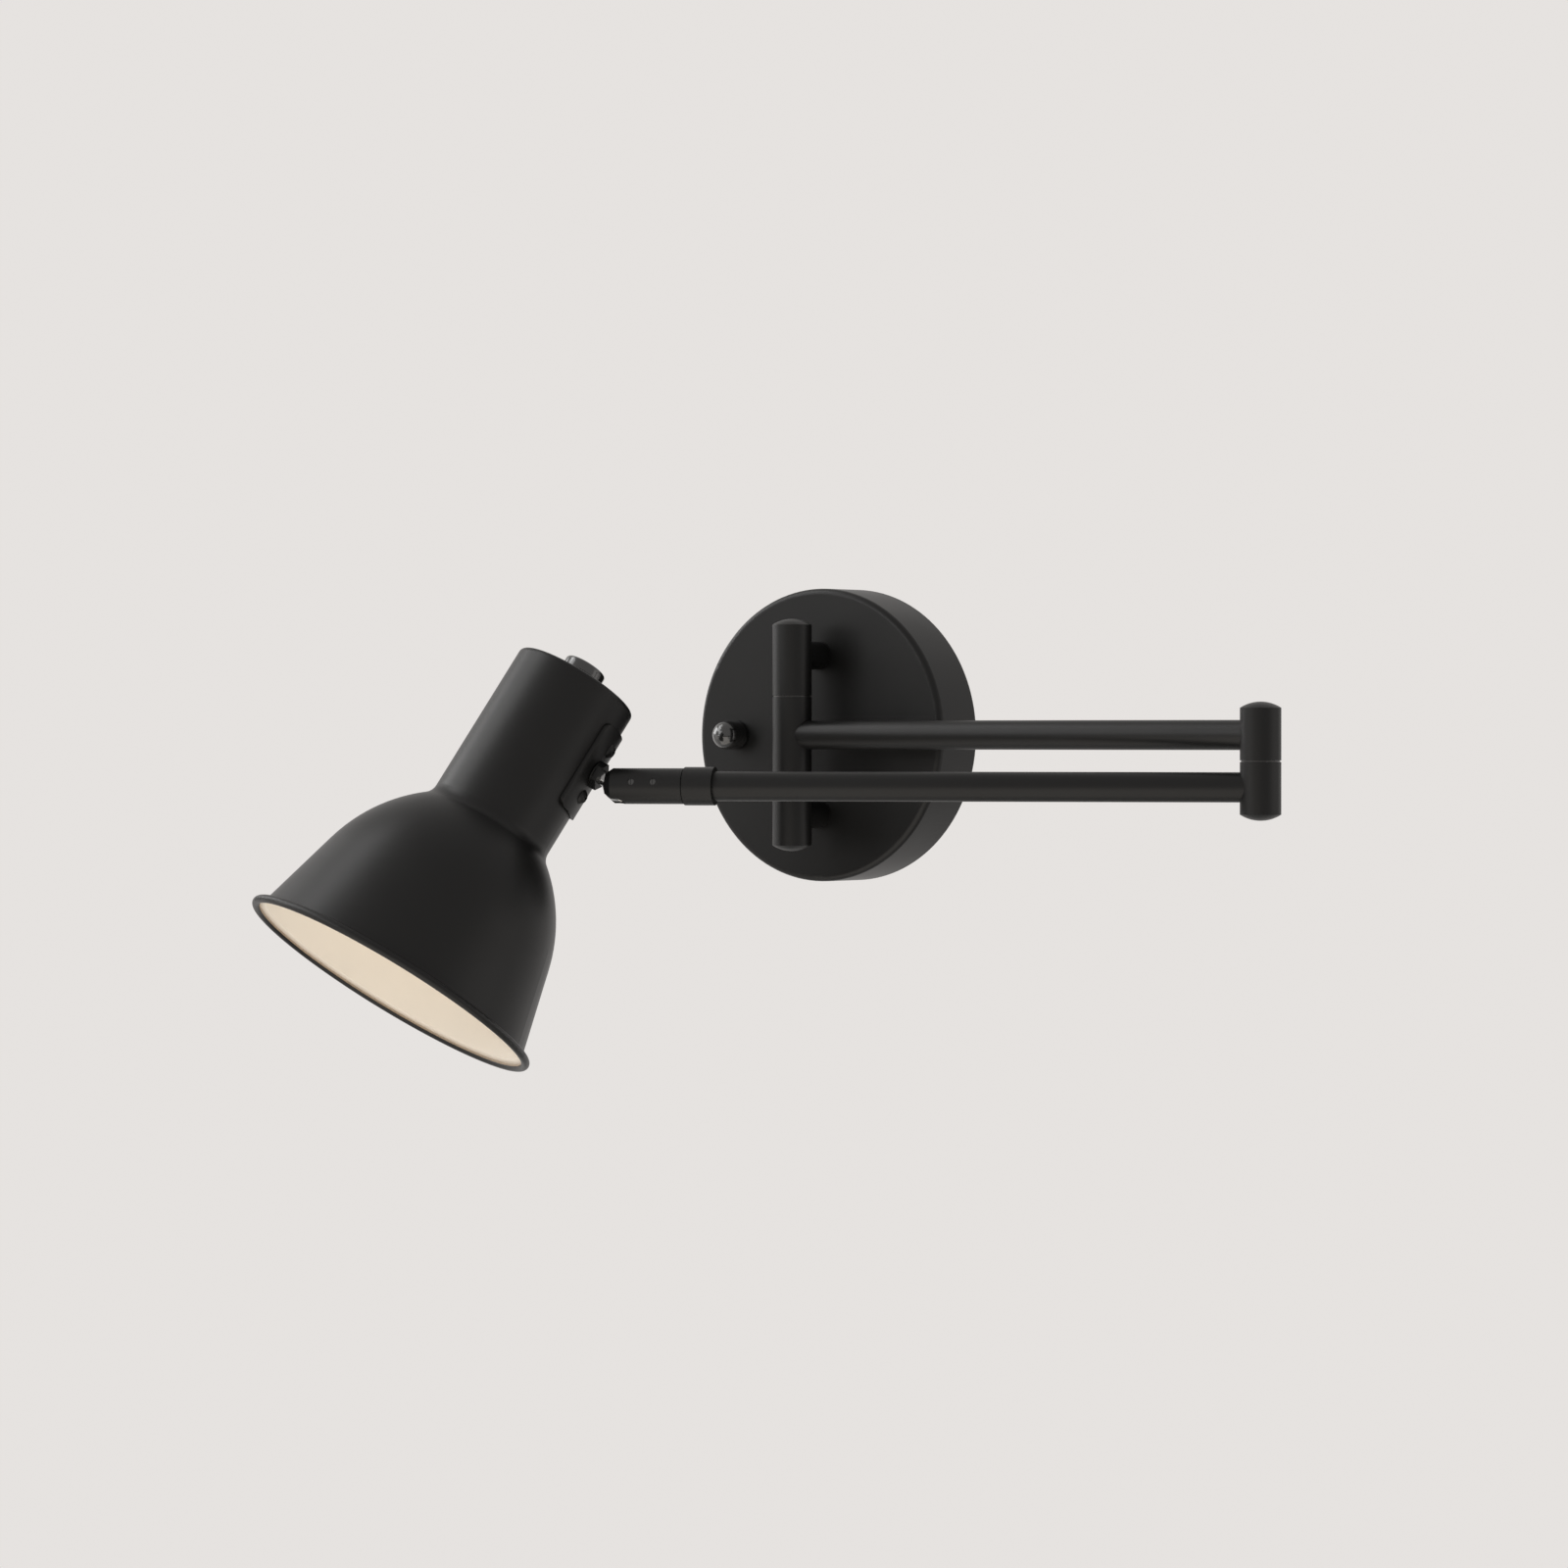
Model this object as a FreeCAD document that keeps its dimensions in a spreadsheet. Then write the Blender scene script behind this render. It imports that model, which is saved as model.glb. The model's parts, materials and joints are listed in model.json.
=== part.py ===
import FreeCAD, Part
import math
import os
import re
import Sketcher

# Articulating wall lamp: a round wall canopy, a three-barrel knuckle, two folding arms joined by an
# elbow, a slotted ball swivel and a spun shade with its switch and lampholder.
#
# Millimetres. The origin is the centre of the canopy's back, on the wall. +X runs along the wall to
# the right, +Z is up, and the lamp stands out from the wall towards -Y.

os.makedirs("parts", exist_ok=True)
document = FreeCAD.newDocument("articulating_wall_lamp")
sheet = document.addObject("Spreadsheet::Sheet", "Sizes")

SIZES = [
    # canopy and wall bar
    ("canopy_radius", 60.0, "outside of the canopy"),
    ("canopy_depth", 26.0, "wall to the canopy's face"),
    ("canopy_wall", 1.2, "sheet of the canopy"),
    ("canopy_edge", 2.4, "rounding where the face meets the side"),
    ("cap_nut_spacing", 82.4, "between the two cap nuts"),
    ("post_spacing", 65.0, "between the two knuckle posts"),
    ("bar_length", 100.0, "wall bar, end to end"),
    ("bar_width", 22.0, "wall bar"),
    ("bar_thickness", 1.6, "wall bar"),
    ("bar_corner", 4.0, "rounding of the bar's corners"),
    ("slot_spacing", 60.0, "between the bar's wall-screw slots"),
    ("slot_length", 11.0, "wall-screw slot, end to end"),
    ("slot_radius", 2.3, "half the slot's width"),
    ("cable_hole_radius", 4.5, "middle of the bar"),
    ("cap_stud_radius", 2.0, "M4 stud of a cap nut"),
    ("cap_stud_reach", 9.0, "stud beyond the canopy's face"),
    ("cap_nut_radius", 6.0, "cap nut and its round front"),
    ("cap_nut_height", 12.9, "cap nut"),
    ("cap_nut_foot", 1.0, "narrower foot of the cap nut, height and inset"),
    ("thread_gap", 0.1, "between a screw and what it is screwed into"),
    ("clearance_gap", 0.4, "between a screw and a hole it passes"),
    ("stud_nut_flats", 7.0, "M4 nut"),
    ("stud_nut_height", 3.2, "M4 nut"),
    ("terminal_length", 28.0, "terminal block"),
    ("terminal_width", 14.0, "terminal block"),
    ("terminal_height", 13.0, "terminal block"),
    ("terminal_offset", 13.0, "terminal block from the middle of the bar"),
    ("terminal_pitch", 8.0, "between the terminals"),
    ("terminal_screw_radius", 1.6, "screws of the terminals"),
    ("earth_offset", 13.0, "earth screw from the middle of the bar"),
    ("earth_head_radius", 3.8, "earth screw"),
    ("earth_head_height", 2.6, "earth screw"),
    # knuckle
    ("knuckle_standoff", 19.0, "canopy's face to the knuckle's axis"),
    ("post_radius", 5.75, "spacer between canopy and knuckle"),
    ("nipple_radius", 4.0, "hollow threaded nipple"),
    ("nipple_bore", 2.6, "hollow threaded nipple"),
    ("nipple_tail", 7.0, "nipple behind the canopy's face"),
    ("post_washer_radius", 8.0, "washer inside the canopy"),
    ("post_washer_height", 1.0, "washer inside the canopy"),
    ("post_nut_flats", 13.0, "nut inside the canopy"),
    ("post_nut_height", 4.0, "nut inside the canopy"),
    ("barrel_radius", 8.0, "knuckle and elbow barrels"),
    ("barrel_cavity", 6.6, "wide end bore of a barrel"),
    ("cap_rise", 2.4, "dome of a barrel's end cap"),
    ("cap_plug_length", 2.8, "end cap inside its barrel"),
    ("pivot_radius", 5.0, "hollow pivots"),
    ("pivot_bore", 3.6, "hollow pivots"),
    ("running_gap", 0.05, "between a pivot and its bore"),
    ("middle_height", 31.5, "knuckle's middle barrel, split to split"),
    ("knuckle_height", 89.8, "knuckle without its domes"),
    ("split_gap", 0.6, "between one barrel and the next"),
    ("washer_height", 0.5, "friction washer in a split"),
    ("washer_inset", 0.4, "friction washer inside the barrel's outside"),
    ("pivot_end", 3.9, "knuckle pivot's end below the barrel's end"),
    ("pivot_nut_height", 3.4, "round nut on the knuckle pivot"),
    ("pivot_nut_slot", 1.6, "slot across the round nut"),
    ("wire_hole_radius", 3.6, "lead hole through a barrel's side"),
    # arms and elbow
    ("arm_1_length", 220.0, "knuckle's axis to elbow's axis"),
    ("arm_2_length", 216.9, "elbow's axis to the collar"),
    ("arm_radius", 5.85, "arm tubes"),
    ("arm_wall", 1.2, "arm tubes"),
    ("arm_drop", 20.2, "second arm below the first"),
    ("elbow_half", 20.6, "elbow's split to the end of its barrel"),
    ("rivet_bearing", 5.0, "bored length that holds the elbow rivet"),
    ("rivet_flange", 1.5, "flange of the elbow rivet"),
    ("rivet_ring", 1.0, "snap ring under the rivet"),
    ("rivet_groove", 0.6, "depth of the snap ring's groove"),
    ("rivet_tail", 1.2, "rivet beyond its snap ring"),
    # collar and swivel
    ("collar_radius", 7.6, "collar"),
    ("sleeve_radius", 7.1, "swivel sleeve"),
    ("collar_length", 12.0, "collar"),
    ("collar_socket", 8.0, "arm tube inside the collar"),
    ("journal_length", 14.0, "collar's spigot"),
    ("journal_bore", 3.2, "lead way through the collar"),
    ("sleeve_split", 0.5, "between collar and sleeve"),
    ("ball_distance", 39.6, "tube's end to the ball's middle"),
    ("sleeve_nose", 4.5, "sleeve beyond the ball's middle"),
    ("nose_radius", 5.3, "end of the tapered nose"),
    ("nose_start", 1.8, "where the taper starts beyond the ball's middle"),
    ("ball_radius", 6.05, "ball of the swivel"),
    ("seat_gap", 0.1, "between the ball and its seat"),
    ("slot_half_width", 3.6, "side slot of the sleeve"),
    ("slot_top", 32.0, "degrees that the slot runs past the sleeve's axis"),
    ("cup_length", 5.4, "seat cup behind its hollow"),
    ("cup_bore", 2.5, "lead way through the cup"),
    ("spring_sheet", 0.7, "disc springs"),
    ("spring_bore", 3.0, "disc springs"),
    ("grub_radius", 1.2, "grub screws of the sleeve"),
    ("grub_depth", 0.35, "grub screw below the sleeve's outside"),
    ("grub_place", 15.8, "grub screw of the groove, from the ball's middle"),
    ("grub_second", 7.0, "grub screw of the cup, from the ball's middle"),
    ("groove_half", 1.6, "half the width of the journal's groove"),
    ("groove_depth", 0.9, "journal's groove"),
    ("stem_radius", 3.0, "stem of the ball stud"),
    ("stem_bore", 1.6, "lead way through the ball stud"),
    ("stem_end", 19.2, "stem's end from the neck's axis"),
    ("stem_nut_flats", 10.0, "nuts of the ball stud"),
    ("stem_nut_height", 2.2, "nut outside the neck"),
    ("stem_inner_height", 3.0, "nut inside the neck"),
    ("stem_washer_radius", 5.8, "washer under the outer nut"),
    ("stem_washer_height", 0.6, "washer under the outer nut"),
    # head
    ("ball_offset", 38.0, "neck's axis to the ball's middle"),
    ("ball_drop", 30.0, "neck's top to the ball's level"),
    ("neck_radius", 26.0, "shade's neck"),
    ("neck_length", 65.5, "straight part of the neck"),
    ("neck_edge", 1.8, "rounding of the neck's top"),
    ("shade_wall", 1.0, "spun sheet"),
    ("throat_radius", 7.0, "hollow between neck and bell"),
    ("throat_turn", 50.0, "degrees that the hollow turns"),
    ("shoulder_radius", 67.2, "bell's shoulder"),
    ("skirt_lean", 14.2, "degrees that the skirt leans out"),
    ("skirt_drop", 35.0, "height of the skirt"),
    ("rim_radius", 63.5, "outside of the rolled rim"),
    ("bead_radius", 1.65, "rolled rim"),
    ("bead_drop", 1.9, "rolled rim below the skirt"),
    ("plate_length", 36.0, "bracket plate, along the neck"),
    ("plate_width", 20.0, "bracket plate"),
    ("plate_thickness", 1.5, "bracket plate at its middle"),
    ("plate_corner", 3.0, "rounding of the plate's corners"),
    ("plate_screw_spacing", 21.5, "between the plate's screws"),
    ("plate_screw_radius", 1.75, "plate's screws"),
    ("plate_head_radius", 3.2, "heads of the plate's screws"),
    ("plate_head_height", 2.0, "heads of the plate's screws"),
    ("recess_width", 0.9, "cross recess of a screw"),
    ("recess_length", 3.6, "cross recess of a screw"),
    ("recess_depth", 1.0, "cross recess of a screw"),
    ("backing_length", 34.0, "backing plate inside the neck"),
    ("backing_width", 14.0, "backing plate inside the neck"),
    ("backing_thickness", 2.0, "backing plate at its middle"),
    # switch and lampholder
    ("bush_radius", 5.0, "threaded bush through the neck's top"),
    ("bush_bore", 2.55, "hole of the switch shaft"),
    ("bush_rise", 3.2, "bush above the neck's top"),
    ("ring_nut_radius", 8.5, "ring nut under the knob"),
    ("ring_nut_height", 1.3, "ring nut under the knob"),
    ("housing_shoulder", 11.5, "top face of the switch housing"),
    ("housing_slope", 4.0, "sloped part of the switch housing"),
    ("holder_radius", 16.5, "switch housing and lampholder"),
    ("housing_length", 19.0, "switch housing"),
    ("housing_wall", 2.0, "switch housing and lampholder"),
    ("chamber_length", 11.0, "switch chamber"),
    ("holder_length", 38.0, "lampholder below the housing"),
    ("holder_floor", 5.0, "top wall of the lampholder"),
    ("shell_radius", 13.3, "inside of the threaded shell"),
    ("shell_wall", 0.6, "threaded shell"),
    ("shell_length", 24.0, "threaded shell"),
    ("shell_inset", 1.5, "shell inside the holder's mouth"),
    ("insert_height", 4.0, "ceramic insert"),
    ("tongue_width", 5.0, "centre contact"),
    ("tongue_sheet", 0.5, "centre contact"),
    ("tongue_rise", 3.0, "centre contact above the insert"),
    ("tongue_reach", 6.0, "centre contact from the axis"),
    ("knob_radius", 7.7, "switch knob"),
    ("knob_height", 4.6, "switch knob"),
    ("knob_edge", 1.2, "rounding of the knob"),
    ("knob_gap", 0.4, "between ring nut and knob"),
    ("knob_cavity", 5.6, "hollow under the knob"),
    ("knob_roof", 2.2, "solid top of the knob"),
    ("shaft_radius", 2.5, "switch shaft"),
    ("rotor_radius", 9.5, "cam on the switch shaft"),
    ("rotor_height", 3.0, "cam on the switch shaft"),
    ("rotor_flat", 7.5, "flat of the cam from the axis"),
    ("leaf_width", 4.0, "leaf contacts of the switch"),
    ("leaf_sheet", 0.4, "leaf contacts of the switch"),
    # pose in which the lamp is stored
    ("elbow_fold", 21.4, "degrees between the folded arms"),
    ("swivel_roll", 14.8, "degrees that the slot is turned from straight down"),
    ("stem_tilt", 26.4, "degrees that the ball stud is tipped up"),
    ("head_spin", 6.0, "degrees that the head is turned on its stud"),
]


def fill_sheet():
    """Writes each size into the sheet under its own name."""
    for row, (alias, number, meaning) in enumerate(SIZES, start=1):
        sheet.set(f"A{row}", meaning)
        sheet.set(f"B{row}", str(number))
        sheet.setAlias(f"B{row}", alias)
    document.recompute()


fill_sheet()
ALIASES = {alias for alias, _, _ in SIZES}


def bound(text):
    """The expression with each size read from the sheet."""

    def read(word):
        return f"Sizes.{word.group()}" if word.group() in ALIASES else word.group()

    return re.sub(r"[A-Za-z_][A-Za-z_0-9]*", read, text)


def value(text):
    """The number that an expression of sizes stands for."""
    return float(sheet.evalExpression(text))


# ---------------------------------------------------------------- frames

X_AXIS = FreeCAD.Vector(1, 0, 0)
Y_AXIS = FreeCAD.Vector(0, 1, 0)
Z_AXIS = FreeCAD.Vector(0, 0, 1)
QUARTER = 90
HALF_TURN = 180
FULL_TURN = 360


def turned_by(axis, degrees):
    return FreeCAD.Placement(FreeCAD.Vector(), FreeCAD.Rotation(axis, degrees))


def shifted(x="0", y="0", z="0"):
    return FreeCAD.Placement(FreeCAD.Vector(value(x), value(y), value(z)), FreeCAD.Rotation())


# Z out of the wall, Y up
WALL = turned_by(X_AXIS, QUARTER)
# the knuckle's axis, at the level of the first arm
KNUCKLE = shifted(y="-(canopy_depth + knuckle_standoff)")
# Z along the first arm
ARM_1 = KNUCKLE * turned_by(Y_AXIS, QUARTER)
# the elbow's axis, at the split between its halves
ELBOW_LEVEL = "-arm_drop / 2"
ELBOW = KNUCKLE * shifted(x="arm_1_length", z=ELBOW_LEVEL)
# changes Z for -X and X for -Z
SWAP = turned_by(X_AXIS - Z_AXIS, HALF_TURN)
# Z along the second arm, X down
ARM_2 = ELBOW * shifted(z="-arm_drop / 2") * turned_by(Z_AXIS, value("elbow_fold")) * SWAP
# the ball's middle, Z along the sleeve, X towards the slot
BALL_PLACE = "arm_2_length + ball_distance"
SWIVEL = ARM_2 * shifted(z=BALL_PLACE) * turned_by(Z_AXIS, value("swivel_roll"))
# the ball's middle, Z along the stem towards the neck
STUD = SWIVEL * turned_by(Y_AXIS, -value("stem_tilt"))
# the neck's top, Z up the neck, X towards the ball
HEAD = STUD * turned_by(Z_AXIS, value("head_spin")) * SWAP * shifted(x="-ball_offset", z="ball_drop")


# ---------------------------------------------------------------- making pieces

START, END, MIDDLE = 1, 2, 3
ORIGIN = (-1, 1)
subparts = []
cuts = []


def keep(piece, place):
    """Lists a finished piece as a sub-part and puts it in its place."""
    piece.Placement = place
    subparts.append(piece)
    return piece


def new_body(label):
    body = document.addObject("PartDesign::Body", label)
    body.Label = label
    return body


def sketch_on(body, plane, lift="0", tip_over="0"):
    """An empty sketch on one of the body's origin planes, raised along its normal."""
    sketch = body.newObject("Sketcher::SketchObject", f"{body.Label}_sketch")
    support = next(f for f in body.Origin.OriginFeatures if f.Role == f"{plane}_Plane")
    sketch.AttachmentSupport = [(support, "")]
    sketch.MapMode = "FlatFace"
    sketch.AttachmentOffset = turned_by(Y_AXIS, value(tip_over))
    sketch.setExpression("AttachmentOffset.Base.z", bound(lift))
    return sketch


def tie(sketch, kind, geometry, number):
    """Ties a radius, or a point's distance from the origin, to the sheet."""
    index = sketch.addConstraint(Sketcher.Constraint(kind, *geometry, value(number)))
    sketch.setExpression(f"Constraints[{index}]", bound(number))


def arc_between(start, end, radius, side):
    """The short arc from start to end, and its first and last point's numbers in a sketch.

    Side 1 has the arc's centre on the left of the way, and -1 on the right.
    """
    chord = end - start
    reach = math.sqrt(max(radius**2 - (chord.Length / 2) ** 2, 0))
    left = FreeCAD.Vector(-chord.y, chord.x, 0).normalize()
    centre = start + chord / 2 + left * (side * reach)
    first, last = (start, end) if side > 0 else (end, start)
    angles = [math.atan2(p.y - centre.y, p.x - centre.x) for p in (first, last)]
    if angles[1] < angles[0]:
        angles[1] += 2 * math.pi
    arc = Part.ArcOfCircle(Part.Circle(centre, Z_AXIS, radius), *angles)
    return arc, (START, END) if side > 0 else (END, START)


def draw_outline(sketch, corners):
    """Draws a closed outline whose corners, and the radii of whose arcs, are tied to the sheet.

    A corner is (across, up), or (across, up, radius, side) where an arc leads to it.
    """
    points = [FreeCAD.Vector(value(c[0]), value(c[1]), 0) for c in corners]
    ends = []
    for number, corner in enumerate(corners):
        start, end = points[number - 1], points[number]
        if len(corner) == 2:
            ends.append((sketch.addGeometry(Part.LineSegment(start, end)), START, END))
        else:
            arc, (first, last) = arc_between(start, end, value(corner[2]), corner[3])
            ends.append((sketch.addGeometry(arc), first, last))
    for number, (geometry, _, last) in enumerate(ends):
        following = ends[(number + 1) % len(ends)]
        joint = (geometry, last, following[0], following[1])
        sketch.addConstraint(Sketcher.Constraint("Coincident", *joint))
    for corner, (geometry, _, last) in zip(corners, ends):
        tie(sketch, "DistanceX", (*ORIGIN, geometry, last), corner[0])
        tie(sketch, "DistanceY", (*ORIGIN, geometry, last), corner[1])
        if len(corner) > 2:
            tie(sketch, "Radius", (geometry,), corner[2])


def draw_circle(sketch, radius, across="0", up="0"):
    centre = FreeCAD.Vector(value(across), value(up), 0)
    geometry = sketch.addGeometry(Part.Circle(centre, Z_AXIS, value(radius)))
    tie(sketch, "DistanceX", (*ORIGIN, geometry, MIDDLE), across)
    tie(sketch, "DistanceY", (*ORIGIN, geometry, MIDDLE), up)
    tie(sketch, "Radius", (geometry,), radius)


def ring_corners(outer, inner, low, high):
    """Half the section of a ring, or of a disc where inner is 0."""
    return [(inner, low), (outer, low), (outer, high), (inner, high)]


def box_corners(width, height, across="0", up="0"):
    left, right = (f"{across} {sign} ({width}) / 2" for sign in "-+")
    low, high = (f"{up} {sign} ({height}) / 2" for sign in "-+")
    return [(left, low), (right, low), (right, high), (left, high)]


def rounded_corners(width, height, radius):
    """A rectangle with rounded corners about the origin."""
    x, y = f"(({width}) / 2)", f"(({height}) / 2)"
    near_x, near_y = f"({x} - {radius})", f"({y} - {radius})"
    return [
        (near_x, f"-{y}"),
        (x, f"-{near_y}", radius, 1),
        (x, near_y),
        (near_x, y, radius, 1),
        (f"-{near_x}", y),
        (f"-{x}", near_y, radius, 1),
        (f"-{x}", f"-{near_y}"),
        (f"-{near_x}", f"-{y}", radius, 1),
    ]


def hexagon_corners(flats):
    """A hexagon about the origin, from the width across its flats."""
    corner = f"({flats}) / sqrt(3)"
    return [(f"{corner} * cos({60 * n})", f"{corner} * sin({60 * n})") for n in range(6)]


def revolve(body, corners=None, circle=None):
    """Turns half of a section about the body's Z axis."""
    sketch = sketch_on(body, "XZ")
    if corners:
        draw_outline(sketch, corners)
    else:
        draw_circle(sketch, *circle)
    feature = body.newObject("PartDesign::Revolution", f"{body.Label}_turned")
    feature.Profile = sketch
    feature.ReferenceAxis = (sketch, ["V_Axis"])
    feature.Angle = FULL_TURN
    return feature


def extrude(body, kind, sketch, length, both_ways=False, backwards=False):
    """Pads or pockets a sketch, and lists a pocket so that its cut is tested."""
    feature = body.newObject(f"PartDesign::{kind}", f"{body.Label}_{kind.lower()}")
    feature.Profile = sketch
    feature.setExpression("Length", bound(length))
    if both_ways:
        feature.SideType = "Symmetric"
    feature.Reversed = backwards
    if kind == "Pocket":
        cuts.append(feature)
    return feature


def pad(body, plane, corners, length, lift="0", both_ways=False):
    sketch = sketch_on(body, plane, lift)
    draw_outline(sketch, corners)
    return extrude(body, "Pad", sketch, length, both_ways)


def cut_outline(body, plane, corners, length, lift="0", both_ways=True, backwards=False):
    sketch = sketch_on(body, plane, lift)
    draw_outline(sketch, corners)
    return extrude(body, "Pocket", sketch, length, both_ways, backwards)


def cut_circle(body, plane, circle, length, lift="0", both_ways=True, backwards=False):
    sketch = sketch_on(body, plane, lift)
    draw_circle(sketch, *circle)
    return extrude(body, "Pocket", sketch, length, both_ways, backwards)


def turned_piece(label, place, corners):
    body = new_body(label)
    revolve(body, corners)
    return keep(body, place)


def grouped(label, place, make, places):
    """Like pieces in one node: each is made by the same function and put in its own place."""
    pieces = []
    for number, own_place in enumerate(places, start=1):
        piece = new_body(f"{label}_{number}")
        make(piece)
        piece.Placement = own_place
        pieces.append(piece)
    group = document.addObject("Part::Compound", label)
    group.Links = pieces
    return keep(group, place)


def hex_nut(body, flats, bore, low, height):
    pad(body, "XY", hexagon_corners(flats), height, lift=low)
    cut_circle(body, "XY", (bore,), f"2 * (abs({low}) + {height})")


def through(length):
    """A cut's length that passes right through something this long, from its middle."""
    return f"2 * ({length}) + 2"


# ---------------------------------------------------------------- canopy and wall bar


def make_canopy():
    """A pressed cup with its open side on the wall."""
    inner_edge = "(canopy_edge - canopy_wall)"
    inner = "(canopy_radius - canopy_wall)"
    roof = "(canopy_depth - canopy_wall)"
    body = turned_piece("canopy", WALL, [
        (inner, "0"),
        ("canopy_radius", "0"),
        ("canopy_radius", "canopy_depth - canopy_edge"),
        ("canopy_radius - canopy_edge", "canopy_depth", "canopy_edge", 1),
        ("0", "canopy_depth"),
        ("0", roof),
        (f"{inner} - {inner_edge}", roof),
        (inner, f"{roof} - {inner_edge}", inner_edge, -1),
    ])
    for sign in "-+":
        stud_hole = ("cap_stud_radius + clearance_gap", f"{sign}cap_nut_spacing / 2", "0")
        cut_circle(body, "XY", stud_hole, through("canopy_depth"))
        post_hole = ("nipple_radius + thread_gap", "0", f"{sign}post_spacing / 2")
        cut_circle(body, "XY", post_hole, through("canopy_depth"))


def make_mounting_bar():
    """A flat steel strip screwed to the wall, with slots, a cable hole and tapped holes."""
    body = new_body("mounting_bar")
    pad(body, "XY", rounded_corners("bar_length", "bar_width", "bar_corner"), "bar_thickness")
    deep = through("bar_thickness")
    cut_circle(body, "XY", ("cable_hole_radius",), deep)
    cut_circle(body, "XY", ("terminal_screw_radius", "-earth_offset"), deep)
    for sign in "-+":
        cut_circle(body, "XY", ("cap_stud_radius + running_gap", f"{sign}cap_nut_spacing / 2"), deep)
        middle = f"({sign}slot_spacing / 2)"
        straight = "(slot_length - 2 * slot_radius)"
        cut_outline(body, "XY", box_corners(straight, "2 * slot_radius", middle), deep)
        for end in "-+":
            cut_circle(body, "XY", ("slot_radius", f"{middle} {end} {straight} / 2"), deep)
    keep(body, WALL)


def make_cap_fixings():
    """Studs through the bar, their nuts, and the rounded cap nuts on the canopy's face."""
    sides = [shifted(x=f"{sign}cap_nut_spacing / 2") for sign in "-+"]
    stud_top = "(canopy_depth + cap_stud_reach)"

    def stud(body):
        revolve(body, ring_corners("cap_stud_radius", "0", "0", stud_top))

    def nut(body):
        bore = "cap_stud_radius + running_gap"
        hex_nut(body, "stud_nut_flats", bore, "bar_thickness", "stud_nut_height")

    def cap_nut(body):
        bore = "(cap_stud_radius + thread_gap)"
        roof = "(cap_stud_reach + thread_gap)"
        revolve(body, [
            (bore, "0"),
            ("cap_nut_radius - cap_nut_foot", "0"),
            ("cap_nut_radius - cap_nut_foot", "cap_nut_foot"),
            ("cap_nut_radius", "cap_nut_foot"),
            ("cap_nut_radius", "cap_nut_height - cap_nut_radius"),
            ("0", "cap_nut_height", "cap_nut_radius", 1),
            ("0", roof),
            (bore, roof),
        ])

    grouped("cap_studs", WALL, stud, sides)
    grouped("stud_nuts", WALL, nut, sides)
    grouped("cap_nuts", WALL * shifted(z="canopy_depth"), cap_nut, sides)


def make_wiring_fittings():
    """Terminal block with its screws, and the earth screw, all on the wall bar."""
    block = new_body("terminal_block")
    outline = box_corners("terminal_width", "terminal_length")
    pad(block, "XY", outline, "terminal_height", lift="bar_thickness")
    top = "bar_thickness + terminal_height"
    for turn in (-1, 0, 1):
        pocket = ("terminal_screw_radius + clearance_gap", "0", f"{turn} * terminal_pitch")
        cut_circle(block, "XY", pocket, "terminal_height / 2", lift=top, both_ways=False)
        lead_level = "bar_thickness + terminal_height / 3"
        lead_way = ("terminal_screw_radius", f"{turn} * terminal_pitch", lead_level)
        cut_circle(block, "YZ", lead_way, through("terminal_width"))
    keep(block, WALL * shifted(x="terminal_offset"))

    floor = "(bar_thickness + terminal_height / 2)"

    def screw(body):
        revolve(body, ring_corners("terminal_screw_radius", "0", floor, f"{floor} + terminal_height / 3"))
        slot = box_corners("terminal_screw_radius * 2 + 1", "recess_width")
        cut_outline(body, "XY", slot, "recess_depth", f"{floor} + terminal_height / 3", both_ways=False)

    rows = [shifted(x="terminal_offset", y=f"{turn} * terminal_pitch") for turn in (-1, 0, 1)]
    grouped("terminal_screws", WALL, screw, rows)

    turned_piece("earth_screw", WALL * shifted(x="-earth_offset"), [
        ("0", "0"),
        ("terminal_screw_radius - running_gap", "0"),
        ("terminal_screw_radius - running_gap", "bar_thickness"),
        ("earth_head_radius", "bar_thickness"),
        ("earth_head_radius", "bar_thickness + earth_head_height"),
        ("0", "bar_thickness + earth_head_height"),
    ])


# ---------------------------------------------------------------- knuckle

MIDDLE_HALF = "((middle_height - split_gap) / 2)"
SPLIT_OUTER = "((middle_height + split_gap) / 2)"
KNUCKLE_END = "(knuckle_height / 2)"
PIVOT_END = f"({KNUCKLE_END} - pivot_end)"
NUT_SEAT = f"({PIVOT_END} - pivot_nut_height - thread_gap)"
BORE = "(pivot_radius + running_gap)"
MIRROR_DOWN = turned_by(X_AXIS, HALF_TURN)


def make_posts():
    """Two hollow nipples with spacers that carry the knuckle in front of the canopy."""
    rows = [shifted(y=f"{sign}post_spacing / 2") for sign in "-+"]
    face = "canopy_depth"
    axis = "(canopy_depth + knuckle_standoff)"
    back = "(canopy_depth - canopy_wall)"
    washer_back = f"({back} - post_washer_height)"

    def spacer(body):
        bore = "nipple_radius + thread_gap"
        revolve(body, ring_corners("post_radius", bore, face, f"{axis} - barrel_radius / 2"))
        cut_circle(body, "XZ", ("barrel_radius", "0", axis), through("post_radius"))

    def nipple(body):
        tip = f"{axis} - {BORE} - clearance_gap"
        revolve(body, ring_corners("nipple_radius", "nipple_bore", "canopy_depth - nipple_tail", tip))

    def washer(body):
        bore = "nipple_radius + thread_gap"
        revolve(body, ring_corners("post_washer_radius", bore, washer_back, back))

    def nut(body):
        low = f"{washer_back} - post_nut_height"
        hex_nut(body, "post_nut_flats", "nipple_radius + running_gap", low, "post_nut_height")

    grouped("post_spacers", WALL, spacer, rows)
    grouped("post_nipples", WALL, nipple, rows)
    grouped("post_washers", WALL, washer, rows)
    grouped("post_nuts", WALL, nut, rows)


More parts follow.
